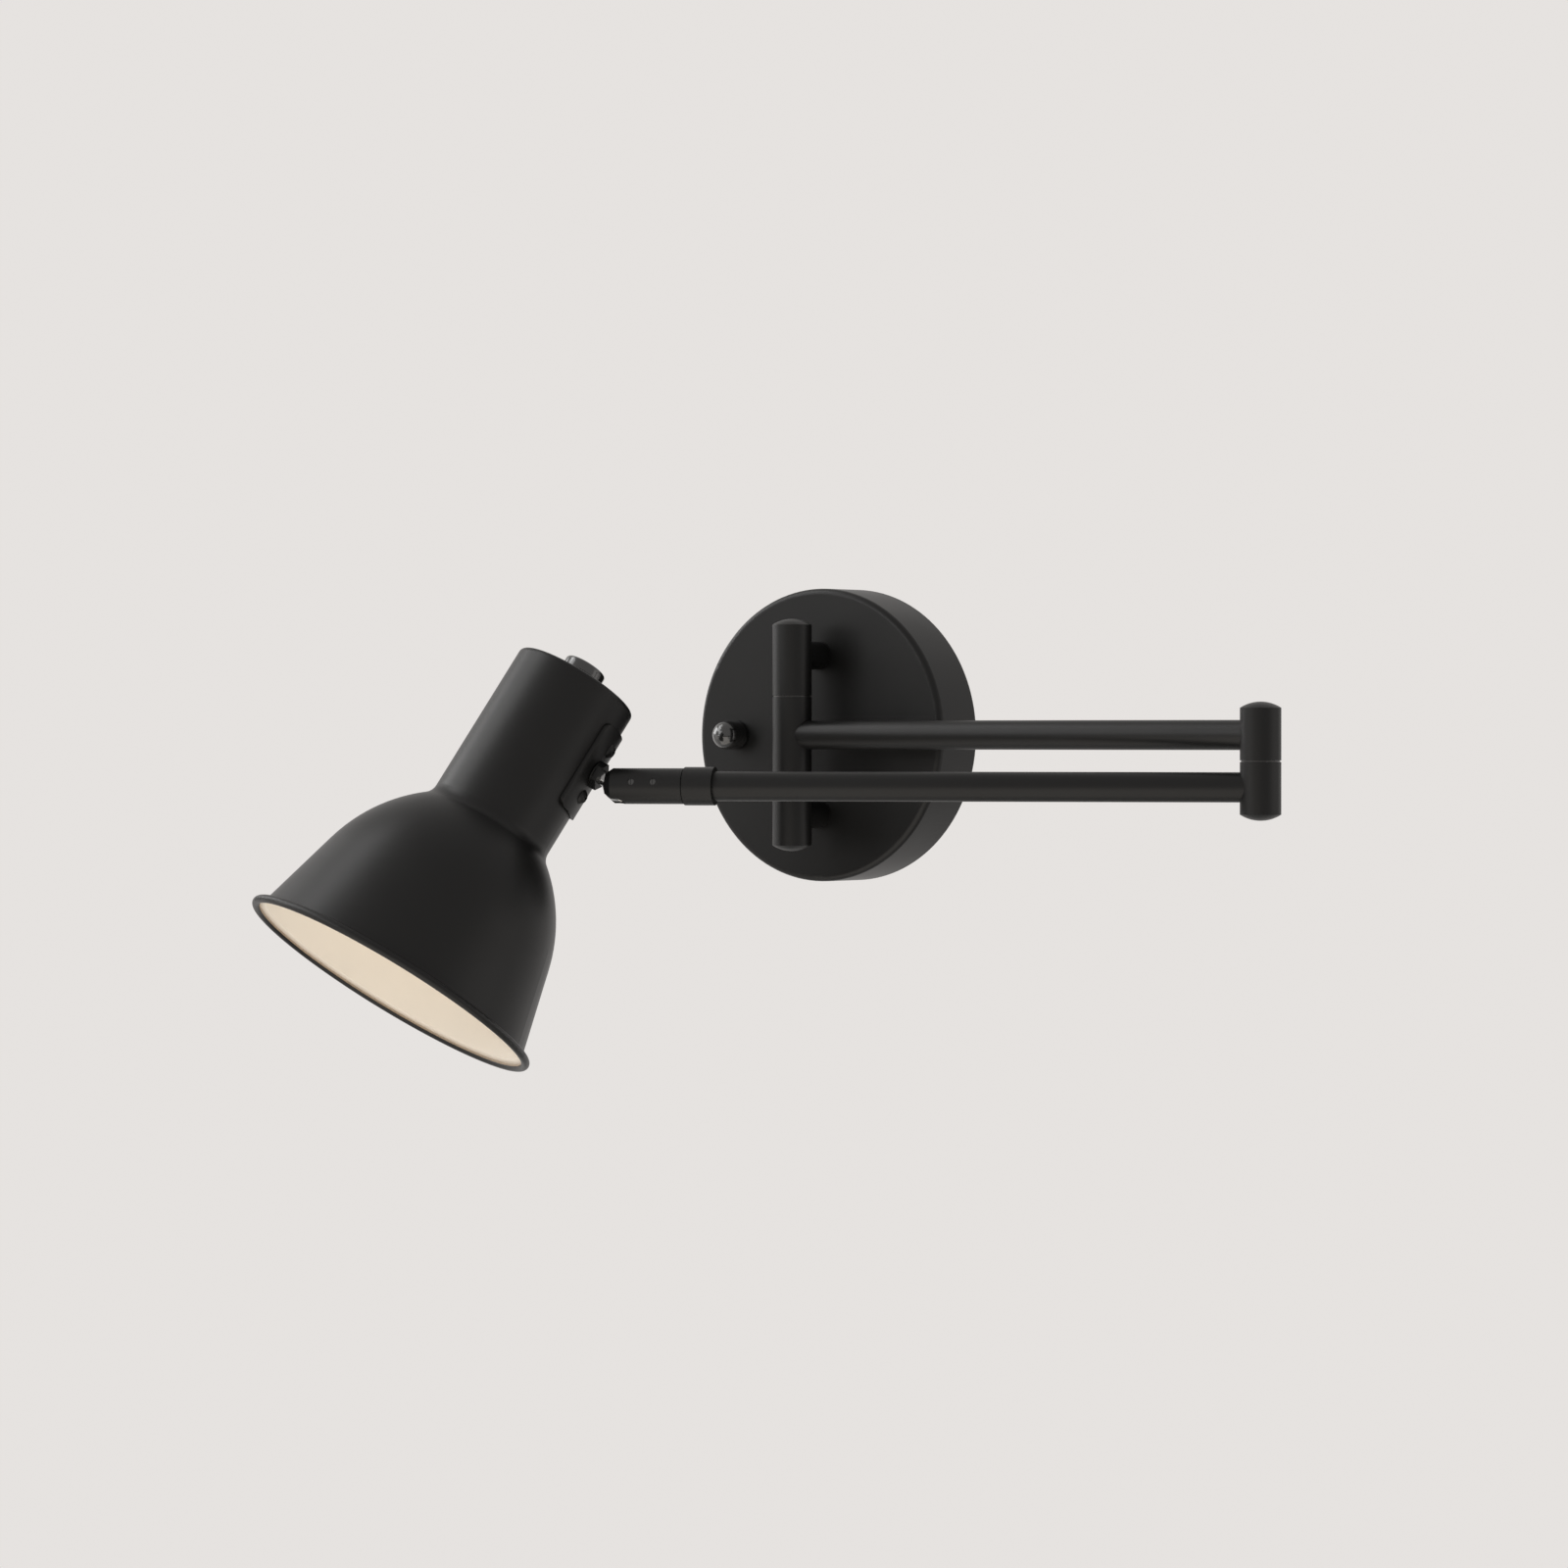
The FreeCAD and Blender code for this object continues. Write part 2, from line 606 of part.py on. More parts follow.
def make_knuckle():
    """Fixed upper and lower barrels, the arm's barrel between them, and the hollow pivot."""
    for name, flip in (("upper", FreeCAD.Placement()), ("lower", MIRROR_DOWN)):
        barrel = new_body(f"knuckle_{name}")
        revolve(barrel, [
            (BORE, SPLIT_OUTER),
            ("barrel_radius", SPLIT_OUTER),
            ("barrel_radius", KNUCKLE_END),
            ("barrel_cavity", KNUCKLE_END),
            ("barrel_cavity", NUT_SEAT),
            (BORE, NUT_SEAT),
        ])
        # the nipple's hole, on the side of the wall
        backwards = name == "lower"
        hole = ("nipple_radius + running_gap", "0", "post_spacing / 2")
        cut_circle(barrel, "XZ", hole, "barrel_radius + 1", both_ways=False, backwards=backwards)
        keep(barrel, KNUCKLE * flip)
        make_end_cap(f"knuckle_cap_{name}", KNUCKLE * flip, KNUCKLE_END)

    middle = new_body("knuckle_middle")
    revolve(middle, ring_corners("barrel_radius", BORE, f"-{MIDDLE_HALF}", MIDDLE_HALF))
    cut_circle(middle, "YZ", ("wire_hole_radius",), "barrel_radius + 1", both_ways=False, backwards=True)
    keep(middle, KNUCKLE)

    pivot = new_body("knuckle_pivot")
    revolve(pivot, ring_corners("pivot_radius", "pivot_bore", f"-{PIVOT_END}", PIVOT_END))
    # the leads leave through a window that stays open to the arm as it swings
    window = box_corners("pivot_radius * 2 + 1", "wire_hole_radius * 2")
    cut_outline(pivot, "XZ", window, "pivot_radius + 1", both_ways=False, backwards=True)
    for sign in "-+":
        lead_hole = ("nipple_bore", "0", f"{sign}post_spacing / 2")
        cut_circle(pivot, "XZ", lead_hole, "pivot_radius + 1", both_ways=False)
    keep(pivot, KNUCKLE)

    def round_nut(body):
        outer = "barrel_cavity - thread_gap"
        low = f"({NUT_SEAT} + running_gap)"
        revolve(body, ring_corners(outer, BORE, low, f"{low} + pivot_nut_height"))
        slot = box_corners("barrel_cavity * 2 + 1", "pivot_nut_slot")
        cut_outline(body, "XY", slot, "recess_depth", f"{low} + pivot_nut_height", both_ways=False)

    def washer(body):
        low = "(middle_height - washer_height) / 2"
        high = "(middle_height + washer_height) / 2"
        revolve(body, ring_corners("barrel_radius - washer_inset", BORE, low, high))

    ends = [FreeCAD.Placement(), MIRROR_DOWN]
    grouped("pivot_nuts", KNUCKLE, round_nut, ends)
    grouped("knuckle_washers", KNUCKLE, washer, ends)


def make_end_cap(label, place, level):
    """A shallow domed plug in the end of a barrel."""
    dome = "((barrel_radius ^ 2 + cap_rise ^ 2) / (2 * cap_rise))"
    plug = "(barrel_cavity - running_gap)"
    turned_piece(label, place, [
        ("0", f"{level} - cap_plug_length"),
        (plug, f"{level} - cap_plug_length"),
        (plug, level),
        ("barrel_radius", level),
        ("0", f"{level} + cap_rise", dome, 1),
    ])


# ---------------------------------------------------------------- arms and elbow

RIVET_SEAT = "(split_gap / 2 + rivet_bearing)"


def make_arm_tube(label, place, end, coped_end):
    """A tube that starts against a barrel, and ends against another or in the collar."""
    tube = new_body(label)
    revolve(tube, ring_corners("arm_radius", "arm_radius - arm_wall", "barrel_radius / 2", end))
    # the barrels stand along the tube's X
    cut_circle(tube, "YZ", ("barrel_radius",), through("arm_radius"))
    if coped_end:
        cut_circle(tube, "YZ", ("barrel_radius", "0", "arm_1_length"), through("arm_radius"))
    keep(tube, place)


def make_elbow():
    """Two half barrels, one for each arm, held together by a flanged hollow rivet."""
    for name, flip in (("upper", FreeCAD.Placement()), ("lower", ELBOW_LOWER_TURN)):
        barrel = new_body(f"elbow_{name}")
        revolve(barrel, [
            (BORE, "split_gap / 2"),
            ("barrel_radius", "split_gap / 2"),
            ("barrel_radius", "elbow_half"),
            ("barrel_cavity", "elbow_half"),
            ("barrel_cavity", RIVET_SEAT),
            (BORE, RIVET_SEAT),
        ])
        lead_hole = ("wire_hole_radius", "0", "arm_drop / 2")
        cut_circle(barrel, "YZ", lead_hole, "barrel_radius + 1", both_ways=False)
        keep(barrel, ELBOW * flip)
        make_end_cap(f"elbow_cap_{name}", ELBOW * flip, "elbow_half")

    ring_top = f"({RIVET_SEAT} + running_gap)"
    groove = "(pivot_radius - rivet_groove)"
    turned_piece("elbow_rivet", ELBOW, [
        ("pivot_bore", f"-({ring_top} + rivet_ring + rivet_tail)"),
        ("pivot_radius", f"-({ring_top} + rivet_ring + rivet_tail)"),
        ("pivot_radius", f"-({ring_top} + rivet_ring + running_gap)"),
        (groove, f"-({ring_top} + rivet_ring + running_gap)"),
        (groove, f"-({ring_top} - running_gap / 2)"),
        ("pivot_radius", f"-({ring_top} - running_gap / 2)"),
        ("pivot_radius", f"{RIVET_SEAT}"),
        ("barrel_cavity - thread_gap", f"{RIVET_SEAT}"),
        ("barrel_cavity - thread_gap", f"{RIVET_SEAT} + rivet_flange"),
        ("pivot_bore", f"{RIVET_SEAT} + rivet_flange"),
    ])
    ring_low = f"-({ring_top} + rivet_ring)"
    ring = ring_corners("barrel_cavity - clearance_gap", f"{groove} + running_gap", ring_low, f"-{ring_top}")
    turned_piece("elbow_snap_ring", ELBOW, ring)
    washer = ring_corners("barrel_radius - washer_inset", BORE, "-washer_height / 2", "washer_height / 2")
    turned_piece("elbow_washer", ELBOW, washer)


# ---------------------------------------------------------------- collar and swivel

SLEEVE_START = "(collar_length + sleeve_split - ball_distance)"
SEAT_RADIUS = "(ball_radius + seat_gap)"
JOURNAL = f"({SEAT_RADIUS} - running_gap)"
JOURNAL_END = "(collar_length + journal_length - ball_distance)"
CUP_FRONT = f"sqrt({SEAT_RADIUS} ^ 2 - cup_bore ^ 2)"
NOSE_MOUTH = f"sqrt({SEAT_RADIUS} ^ 2 - sleeve_nose ^ 2)"
CUP_BACK = f"(-({CUP_FRONT} + cup_length))"


def make_collar():
    """A collar on the tube's end with a hollow spigot that the sleeve turns on."""
    end = "collar_length + journal_length"
    groove = "(ball_distance - grub_place)"
    floor = f"({JOURNAL} - groove_depth)"
    socket = "arm_radius + running_gap"
    turned_piece("arm_2_collar", ARM_2 * shifted(z="arm_2_length"), [
        (socket, "0"),
        ("collar_radius", "0"),
        ("collar_radius", "collar_length"),
        (JOURNAL, "collar_length"),
        (JOURNAL, f"{groove} - groove_half"),
        (floor, f"{groove} - groove_half"),
        (floor, f"{groove} + groove_half"),
        (JOURNAL, f"{groove} + groove_half"),
        (JOURNAL, end),
        ("journal_bore", end),
        ("journal_bore", "collar_socket"),
        (socket, "collar_socket"),
    ])


def make_sleeve():
    """The swivel sleeve: a ball seat in its nose, and a slot down its side for the stem."""
    sleeve = new_body("swivel_sleeve")
    revolve(sleeve, [
        (SEAT_RADIUS, SLEEVE_START),
        ("sleeve_radius", SLEEVE_START),
        ("sleeve_radius", "nose_start"),
        ("nose_radius", "sleeve_nose"),
        (NOSE_MOUTH, "sleeve_nose"),
        (SEAT_RADIUS, "0", SEAT_RADIUS, -1),
    ])
    # the slot runs from straight down to a little past the sleeve's axis
    far = "(2 * sleeve_radius)"
    wedge = [
        ("0", "0"),
        (far, "0"),
        (far, far),
        (f"-{far} * tan(slot_top)", far),
    ]
    cut_outline(sleeve, "XZ", wedge, "2 * slot_half_width")
    cut_circle(sleeve, "YZ", ("slot_half_width",), far, both_ways=False, backwards=True)
    tipped = sketch_on(sleeve, "XY", tip_over="-slot_top")
    draw_circle(tipped, "slot_half_width")
    extrude(sleeve, "Pocket", tipped, far, backwards=True)
    for place in ("grub_place", "grub_second"):
        hole = ("grub_radius + running_gap", "0", f"-{place}")
        cut_circle(sleeve, "XZ", hole, "sleeve_radius + 1", both_ways=False)
    keep(sleeve, SWIVEL)

    def grub_screw(body):
        outer = "(sleeve_radius - grub_depth)"
        tip = f"({JOURNAL} - groove_depth / 2)"
        revolve(body, ring_corners("grub_radius", "0", tip, outer))
        slot = box_corners("grub_radius * 2 + 1", "recess_width / 2")
        cut_outline(body, "XY", slot, "grub_depth", outer, both_ways=False)

    outwards = turned_by(X_AXIS, -QUARTER)
    rows = [shifted(z=f"-{place}") * outwards for place in ("grub_place", "grub_second")]
    grouped("sleeve_grub_screws", SWIVEL, grub_screw, rows)


def make_seat():
    """The cup that presses on the ball, kept from turning, and the two disc springs behind it."""
    cup = new_body("seat_cup")
    revolve(cup, [
        ("cup_bore", CUP_BACK),
        (JOURNAL, CUP_BACK),
        (JOURNAL, f"-sqrt({SEAT_RADIUS} ^ 2 - {JOURNAL} ^ 2)"),
        ("cup_bore", f"-{CUP_FRONT}", SEAT_RADIUS, -1),
    ])
    # a keyway for the tip of the second screw
    keyway = box_corners("2 * grub_radius + clearance_gap", "4 * grub_radius", up="-grub_second")
    floor = f"({JOURNAL} - groove_depth)"
    cut_outline(cup, "XZ", keyway, "2 * groove_depth", lift=f"-{floor}", both_ways=False)
    keep(cup, SWIVEL)

    front = f"({CUP_BACK} - running_gap)"
    back = f"({JOURNAL_END} + running_gap)"
    meeting = f"(({front} + {back}) / 2)"
    edge = f"({JOURNAL} - clearance_gap)"

    def spring(body):
        revolve(body, [
            ("spring_bore", back),
            ("spring_bore", f"{back} + spring_sheet"),
            (edge, meeting),
            (edge, f"{meeting} - spring_sheet"),
        ])

    facing = shifted(z=f"2 * {meeting}") * MIRROR_DOWN
    grouped("disc_springs", SWIVEL, spring, [FreeCAD.Placement(), facing])


# ---------------------------------------------------------------- ball stud

PLATE_FACE = "(ball_offset - neck_radius - plate_thickness)"
BACKING_FACE = "(ball_offset - neck_radius + shade_wall + backing_thickness)"


def make_ball_stud():
    """A hollow stud with a ball at one end, and its washer and two nuts."""
    neck = "sqrt(ball_radius ^ 2 - stem_radius ^ 2)"
    tail = "sqrt(ball_radius ^ 2 - stem_bore ^ 2)"
    end = "(ball_offset - stem_end)"
    turned_piece("ball_stud", STUD, [
        ("stem_bore", f"-{tail}"),
        ("ball_radius", "0", "ball_radius", 1),
        ("stem_radius", neck, "ball_radius", 1),
        ("stem_radius", end),
        ("stem_bore", end),
    ])
    bore = "(stem_radius + running_gap)"
    washer_face = f"({PLATE_FACE} - running_gap)"
    washer_back = f"({washer_face} - stem_washer_height)"
    turned_piece("stem_washer", STUD, ring_corners("stem_washer_radius", bore, washer_back, washer_face))
    for label, low, height in (
        ("stem_nut", f"{washer_back} - stem_nut_height", "stem_nut_height"),
        ("stem_inner_nut", f"{BACKING_FACE} + running_gap", "stem_inner_height"),
    ):
        nut = new_body(label)
        hex_nut(nut, "stem_nut_flats", bore, low, height)
        keep(nut, STUD)


# ---------------------------------------------------------------- shade and bracket

THROAT_R = "(neck_radius + throat_radius * (1 - cos(throat_turn)))"
THROAT_Z = "(neck_length + throat_radius * sin(throat_turn))"
SHOULDER_R = f"({THROAT_R} + shoulder_radius * (cos(skirt_lean) - cos(throat_turn)))"
SHOULDER_Z = f"({THROAT_Z} + shoulder_radius * (sin(throat_turn) - sin(skirt_lean)))"
SKIRT_R = f"({SHOULDER_R} + skirt_drop * tan(skirt_lean))"
SKIRT_Z = f"({SHOULDER_Z} + skirt_drop)"
BEAD_R = "(rim_radius - bead_radius)"
BEAD_Z = f"({SKIRT_Z} + bead_drop)"


def inside(radius, level, lean):
    """The inner wall's point opposite an outer one where the wall leans out this much."""
    return f"{radius} - shade_wall * cos({lean})", f"-({level}) - shade_wall * sin({lean})"


def make_shade():
    """Spun in one piece: a closed neck, a bell, a skirt and a rolled rim."""
    shade = new_body("shade")
    inner_edge = "(neck_edge - shade_wall)"
    throat_inside = inside(THROAT_R, THROAT_Z, "throat_turn")
    shoulder_inside = inside(SHOULDER_R, SHOULDER_Z, "skirt_lean")
    skirt_inside = inside(SKIRT_R, SKIRT_Z, "skirt_lean")
    revolve(shade, [
        ("0", "-shade_wall"),
        ("neck_radius - neck_edge", "-shade_wall"),
        ("neck_radius - shade_wall", "-neck_edge", inner_edge, -1),
        ("neck_radius - shade_wall", "-neck_length"),
        (*throat_inside, "throat_radius + shade_wall", 1),
        (*shoulder_inside, "shoulder_radius - shade_wall", -1),
        skirt_inside,
        (BEAD_R, f"-({BEAD_Z}) - shade_wall / 2"),
        (BEAD_R, f"-({BEAD_Z}) + shade_wall / 2"),
        (SKIRT_R, f"-({SKIRT_Z})"),
        (SHOULDER_R, f"-({SHOULDER_Z})"),
        (THROAT_R, f"-({THROAT_Z})", "shoulder_radius", 1),
        ("neck_radius", "-neck_length", "throat_radius", -1),
        ("neck_radius", "-neck_edge"),
        ("neck_radius - neck_edge", "0", "neck_edge", 1),
        ("0", "0"),
    ])
    revolve(shade, circle=("bead_radius", BEAD_R, f"-({BEAD_Z})"))
    cut_circle(shade, "XY", ("bush_radius + thread_gap",), through("shade_wall"))
    for hole in (
        ("stem_radius + clearance_gap", "0", "-ball_drop"),
        ("plate_screw_radius + thread_gap", "0", "-ball_drop - plate_screw_spacing / 2"),
        ("plate_screw_radius + thread_gap", "0", "-ball_drop + plate_screw_spacing / 2"),
    ):
        cut_circle(shade, "YZ", hole, "neck_radius + 1", both_ways=False, backwards=True)
    keep(shade, HEAD)


def make_plates():
    """The bracket plate outside the neck, its backing plate inside, and their two screws."""
    middle = shifted(z="-ball_drop")
    half_chord = "(plate_width / 2)"
    sag = f"(neck_radius - sqrt(neck_radius ^ 2 - {half_chord} ^ 2))"
    plate = new_body("bracket_plate")
    outline = rounded_corners("plate_width", "plate_length", "plate_corner")
    pad(plate, "YZ", outline, f"plate_thickness + {sag} + 1", lift=f"neck_radius - {sag} - 1")
    cut_circle(plate, "XY", ("neck_radius",), through("plate_length"))
    holes = (
        ("stem_radius + clearance_gap", "0"),
        ("plate_screw_radius + thread_gap", "-plate_screw_spacing / 2"),
        ("plate_screw_radius + thread_gap", "plate_screw_spacing / 2"),
    )
    for radius, level in holes:
        cut_circle(plate, "YZ", (radius, "0", level), through("ball_offset"))
    keep(plate, HEAD * middle)

    backing = new_body("backing_plate")
    face = "(neck_radius - shade_wall - backing_thickness)"
    high = "(backing_length / 2)"
    revolve(backing, ring_corners("neck_radius - shade_wall", "0", f"-{high}", high))
    tall = "backing_length + 2"
    behind = box_corners("2 * neck_radius", tall, across=f"({face} - neck_radius)")
    cut_outline(backing, "XZ", behind, through("neck_radius"))
    for sign in "-+":
        beside = box_corners("neck_radius", tall, across=f"({sign}(backing_width + neck_radius) / 2)")
        cut_outline(backing, "YZ", beside, through("neck_radius"))
    for radius, level in holes:
        cut_circle(backing, "YZ", (radius, "0", level), through("neck_radius"))
    keep(backing, HEAD * middle)

    rise = "(neck_radius + plate_thickness)"

    def screw(body):
        dome = "((plate_head_radius ^ 2 + plate_head_height ^ 2) / (2 * plate_head_height))"
        revolve(body, [
            ("0", "neck_radius - shade_wall - backing_thickness - 1"),
            ("plate_screw_radius", "neck_radius - shade_wall - backing_thickness - 1"),
            ("plate_screw_radius", rise),
            ("plate_head_radius", rise),
            ("0", f"{rise} + plate_head_height", dome, 1),
        ])
        top = f"{rise} + plate_head_height"
        for width, height in (("recess_width", "recess_length"), ("recess_length", "recess_width")):
            cut_outline(body, "XY", box_corners(width, height), "recess_depth", top, both_ways=False)

    outwards = turned_by(Y_AXIS, QUARTER)
    rows = [shifted(z=f"-ball_drop {sign} plate_screw_spacing / 2") * outwards for sign in "-+"]
    grouped("plate_screws", HEAD, screw, rows)


# ---------------------------------------------------------------- switch and lampholder

HOUSING_TOP = "(-shade_wall)"
HOUSING_END = "(-shade_wall - housing_length)"
HOLDER_END = f"({HOUSING_END} - holder_length)"
FLOOR_UNDER = f"({HOUSING_END} - holder_floor)"
INSERT_UNDER = f"({FLOOR_UNDER} - insert_height)"
CHAMBER_TOP = f"({HOUSING_END} + chamber_length)"


def make_lampholder():
    """A switch housing that hangs from the neck's top, with the threaded lampholder below it."""
    chamber = "(holder_radius - 2 * housing_wall)"
    turned_piece("switch_housing", HEAD, [
        ("bush_bore", "bush_rise"),
        ("bush_bore", CHAMBER_TOP),
        (chamber, CHAMBER_TOP),
        (chamber, HOUSING_END),
        ("holder_radius", HOUSING_END),
        ("holder_radius", f"{HOUSING_TOP} - housing_slope"),
        ("housing_shoulder", HOUSING_TOP),
        ("bush_radius", HOUSING_TOP),
        ("bush_radius", "bush_rise"),
    ])
    ring = ring_corners("ring_nut_radius", "bush_radius + running_gap", "0", "ring_nut_height")
    turned_piece("ring_nut", HEAD, ring)
    lead_way = "(tongue_width / 2)"
    turned_piece("lampholder", HEAD, [
        (lead_way, HOUSING_END),
        (lead_way, FLOOR_UNDER),
        ("shell_radius + shell_wall + thread_gap", FLOOR_UNDER),
        ("shell_radius + shell_wall + thread_gap", HOLDER_END),
        ("holder_radius", HOLDER_END),
        ("holder_radius", HOUSING_END),
    ])
    shell_end = f"({HOLDER_END} + shell_inset)"
    shell_top = f"({shell_end} + shell_length)"
    shell = ring_corners("shell_radius + shell_wall", "shell_radius", shell_end, shell_top)
    turned_piece("thread_shell", HEAD, shell)

    insert = new_body("contact_insert")
    revolve(insert, ring_corners("shell_radius + shell_wall", "0", INSERT_UNDER, FLOOR_UNDER))
    slot = box_corners("tongue_sheet + clearance_gap", "tongue_width + clearance_gap", across="tongue_reach")
    cut_outline(insert, "XY", slot, "insert_height", lift=FLOOR_UNDER, both_ways=False)
    keep(insert, HEAD)

    tongue = new_body("centre_contact")
    half = "(tongue_sheet / 2)"
    low = f"({INSERT_UNDER} - tongue_rise)"
    bent = [
        (f"tongue_reach + {half}", f"{FLOOR_UNDER} - 1"),
        (f"tongue_reach - {half}", f"{FLOOR_UNDER} - 1"),
        (f"tongue_reach - {half}", f"{INSERT_UNDER} - tongue_sheet"),
        ("-tongue_width / 2", f"{low} + tongue_sheet"),
        ("-tongue_width / 2", low),
        (f"tongue_reach + {half}", f"{INSERT_UNDER} - 2 * tongue_sheet"),
    ]
    pad(tongue, "XZ", bent, "tongue_width", both_ways=True)
    keep(tongue, HEAD)

    def leaf(body):
        outline = box_corners("leaf_sheet", "leaf_width", across="(rotor_radius + leaf_sheet)")
        pad(body, "XY", outline, "chamber_length - 1", lift=HOUSING_END)

    grouped("switch_leaves", HEAD, leaf, [FreeCAD.Placement(), turned_by(Z_AXIS, HALF_TURN)])


def make_knob():
    """The round knob and its shaft, whose flatted cam works the leaf contacts."""
    under = "(ring_nut_height + knob_gap)"
    top = f"({under} + knob_height)"
    knob = new_body("switch_knob")
    revolve(knob, [
        ("shaft_radius", f"{top} - knob_roof"),
        ("knob_cavity", f"{top} - knob_roof"),
        ("knob_cavity", under),
        ("knob_radius", under),
        ("knob_radius", f"{top} - knob_edge"),
        ("knob_radius - knob_edge", top, "knob_edge", 1),
        ("0", top),
        ("0", f"{top} - knob_roof / 2"),
        ("shaft_radius", f"{top} - knob_roof / 2"),
    ])
    keep(knob, HEAD)

    cam_top = f"({CHAMBER_TOP} - 1)"
    shaft = new_body("switch_shaft")
    revolve(shaft, [
        ("0", f"{cam_top} - rotor_height"),
        ("rotor_radius", f"{cam_top} - rotor_height"),
        ("rotor_radius", cam_top),
        ("shaft_radius", cam_top),
        ("shaft_radius", f"{top} - knob_roof / 2"),
        ("0", f"{top} - knob_roof / 2"),
    ])
    for sign in "-+":
        side = box_corners("rotor_radius", "rotor_radius * 3", f"({sign}(rotor_flat + rotor_radius / 2))")
        cut_outline(shaft, "XY", side, "rotor_height * 2", lift=cam_top)
    keep(shaft, HEAD)


# ---------------------------------------------------------------- the lamp

# the lower half barrel lies upside down under the upper one, turned with the second arm
ELBOW_LOWER_TURN = turned_by(Z_AXIS, value("elbow_fold")) * MIRROR_DOWN


def make_lamp():
    make_canopy()
    make_mounting_bar()
    make_cap_fixings()
    make_wiring_fittings()
    make_posts()
    make_knuckle()
    make_arm_tube("arm_1_tube", ARM_1, "arm_1_length - barrel_radius / 2", coped_end=True)
    make_elbow()
    make_arm_tube("arm_2_tube", ARM_2, "arm_2_length + collar_socket", coped_end=False)
    make_collar()
    make_sleeve()
    make_seat()
    make_ball_stud()
    make_shade()
    make_plates()
    make_lampholder()
    make_knob()


def test_lamp():
    """Stops if a feature failed, a cut took nothing away or a sub-part is not sound."""
    for thing in document.Objects:
        if {"Invalid", "Error"} & set(thing.State):
            raise RuntimeError(f"{thing.Label} failed: {thing.State}")
    for cut in cuts:
        if cut.Shape.Volume >= cut.BaseFeature.Shape.Volume:
            raise RuntimeError(f"{cut.Label} cuts nothing")
    for piece in subparts:
        if piece.Shape.isNull() or not piece.Shape.isValid():
            raise RuntimeError(f"{piece.Label} is not a sound solid")


make_lamp()
document.recompute()
test_lamp()
for piece in subparts:
    piece.Shape.exportStep(f"parts/{piece.Label}.step")
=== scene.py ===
import json
import math

import bpy
from bpy.props import FloatProperty, FloatVectorProperty, IntProperty, PointerProperty
from mathutils import Matrix, Vector


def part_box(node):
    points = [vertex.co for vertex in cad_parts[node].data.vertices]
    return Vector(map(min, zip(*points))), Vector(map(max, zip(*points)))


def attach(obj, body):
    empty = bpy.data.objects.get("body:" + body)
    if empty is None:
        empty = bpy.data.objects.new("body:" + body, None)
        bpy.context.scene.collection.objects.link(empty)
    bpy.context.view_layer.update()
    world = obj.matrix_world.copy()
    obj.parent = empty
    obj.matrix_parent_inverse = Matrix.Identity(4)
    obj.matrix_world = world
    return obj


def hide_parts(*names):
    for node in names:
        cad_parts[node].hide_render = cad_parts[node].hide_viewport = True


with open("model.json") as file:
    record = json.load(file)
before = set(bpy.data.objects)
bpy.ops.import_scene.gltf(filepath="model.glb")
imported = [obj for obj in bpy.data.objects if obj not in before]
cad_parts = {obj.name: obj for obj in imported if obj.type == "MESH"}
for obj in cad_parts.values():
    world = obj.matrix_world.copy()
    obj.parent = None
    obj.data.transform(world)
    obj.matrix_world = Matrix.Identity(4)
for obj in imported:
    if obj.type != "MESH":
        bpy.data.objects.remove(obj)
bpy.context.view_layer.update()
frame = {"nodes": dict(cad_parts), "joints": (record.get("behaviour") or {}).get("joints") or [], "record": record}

bl_info = {
    "name": "Articulating wall lamp",
    "version": (1, 0, 0),
    "blender": (4, 5, 0),
    "location": "3D View > Sidebar > Lamp",
    "description": "Finishes, threads, knob, bracket plate and stage of the wall lamp",
    "category": "Object",
}

MM = 0.001

# axes of the world: along the wall and up it
ALONG, UP = 0, 2

# faces round a turned piece, round a rod and along a rounded corner or edge
ROUND_STEPS = 96
ROD_STEPS = 48
CORNER_STEPS = 6
EDGE_STEPS = 2
# faces that meet at less than the first are shaded smooth, edges sharper than the second are rolled
SMOOTH_ANGLE = math.radians(35)
ROLLED_ANGLE = math.radians(40)
# points nearer than this are one point
WELD = MM / 1000

# a V thread: its depth and the ends of its flat root as shares of the pitch, and its crest's inset
THREAD_DEPTH = 0.6
ROOT_START, ROOT_END = 0.45, 0.55
CREST_INSET = MM / 100
# the rolled bulb thread: share of the pitch and share of the depth, point by point
SHELL_WAVE = ((0, 0), (0.2, 0.3), (0.5, 1), (0.8, 0.3), (1, 0))
# turns wound beyond a thread's two ends before they are cut flat
SPARE_TURNS = 2

# powder coat: size of its patches in grains, and how far tone and roughness differ in them
PATCH_GRAINS = 40
PATCH_TONE = 0.1
PATCH_ROUGHNESS = 0.04
# the shade's faces are lining where their normal times the way from the axis is below the first,
# or where they look down the axis more than the second
LOOKS_IN = -0.4 * MM
LOOKS_DOWN = -0.9

# the camera: its sensor in millimetres, and how far it sees in metres
SENSOR_WIDTH = 36
FARTHEST_SEEN = 50

# ---------------------------------------------------------------- places read from the frame

JOINTS = {joint["name"]: joint for joint in frame["joints"]}
MOUNTS = {mount["name"]: mount for mount in frame["record"]["mounts"]}


def frame_at(origin, up, side):
    """A matrix with its Z along up and its X towards side."""
    z = Vector(up).normalized()
    x = Vector(side)
    x = (x - z * x.dot(z)).normalized()
    y = z.cross(x)
    return Matrix.Translation(Vector(origin)) @ Matrix((x, y, z)).transposed().to_4x4()


# the neck's top, Z up the neck and X towards the ball
HEAD = frame_at(
    JOINTS["switch_turn"]["pos_m"],
    JOINTS["switch_turn"]["axis"],
    JOINTS["head_spin"]["axis"],
)
# the wall, Z out of it
WALL = frame_at((0, 0, 0), (0, -1, 0), (1, 0, 0))

# ---------------------------------------------------------------- which node has which finish

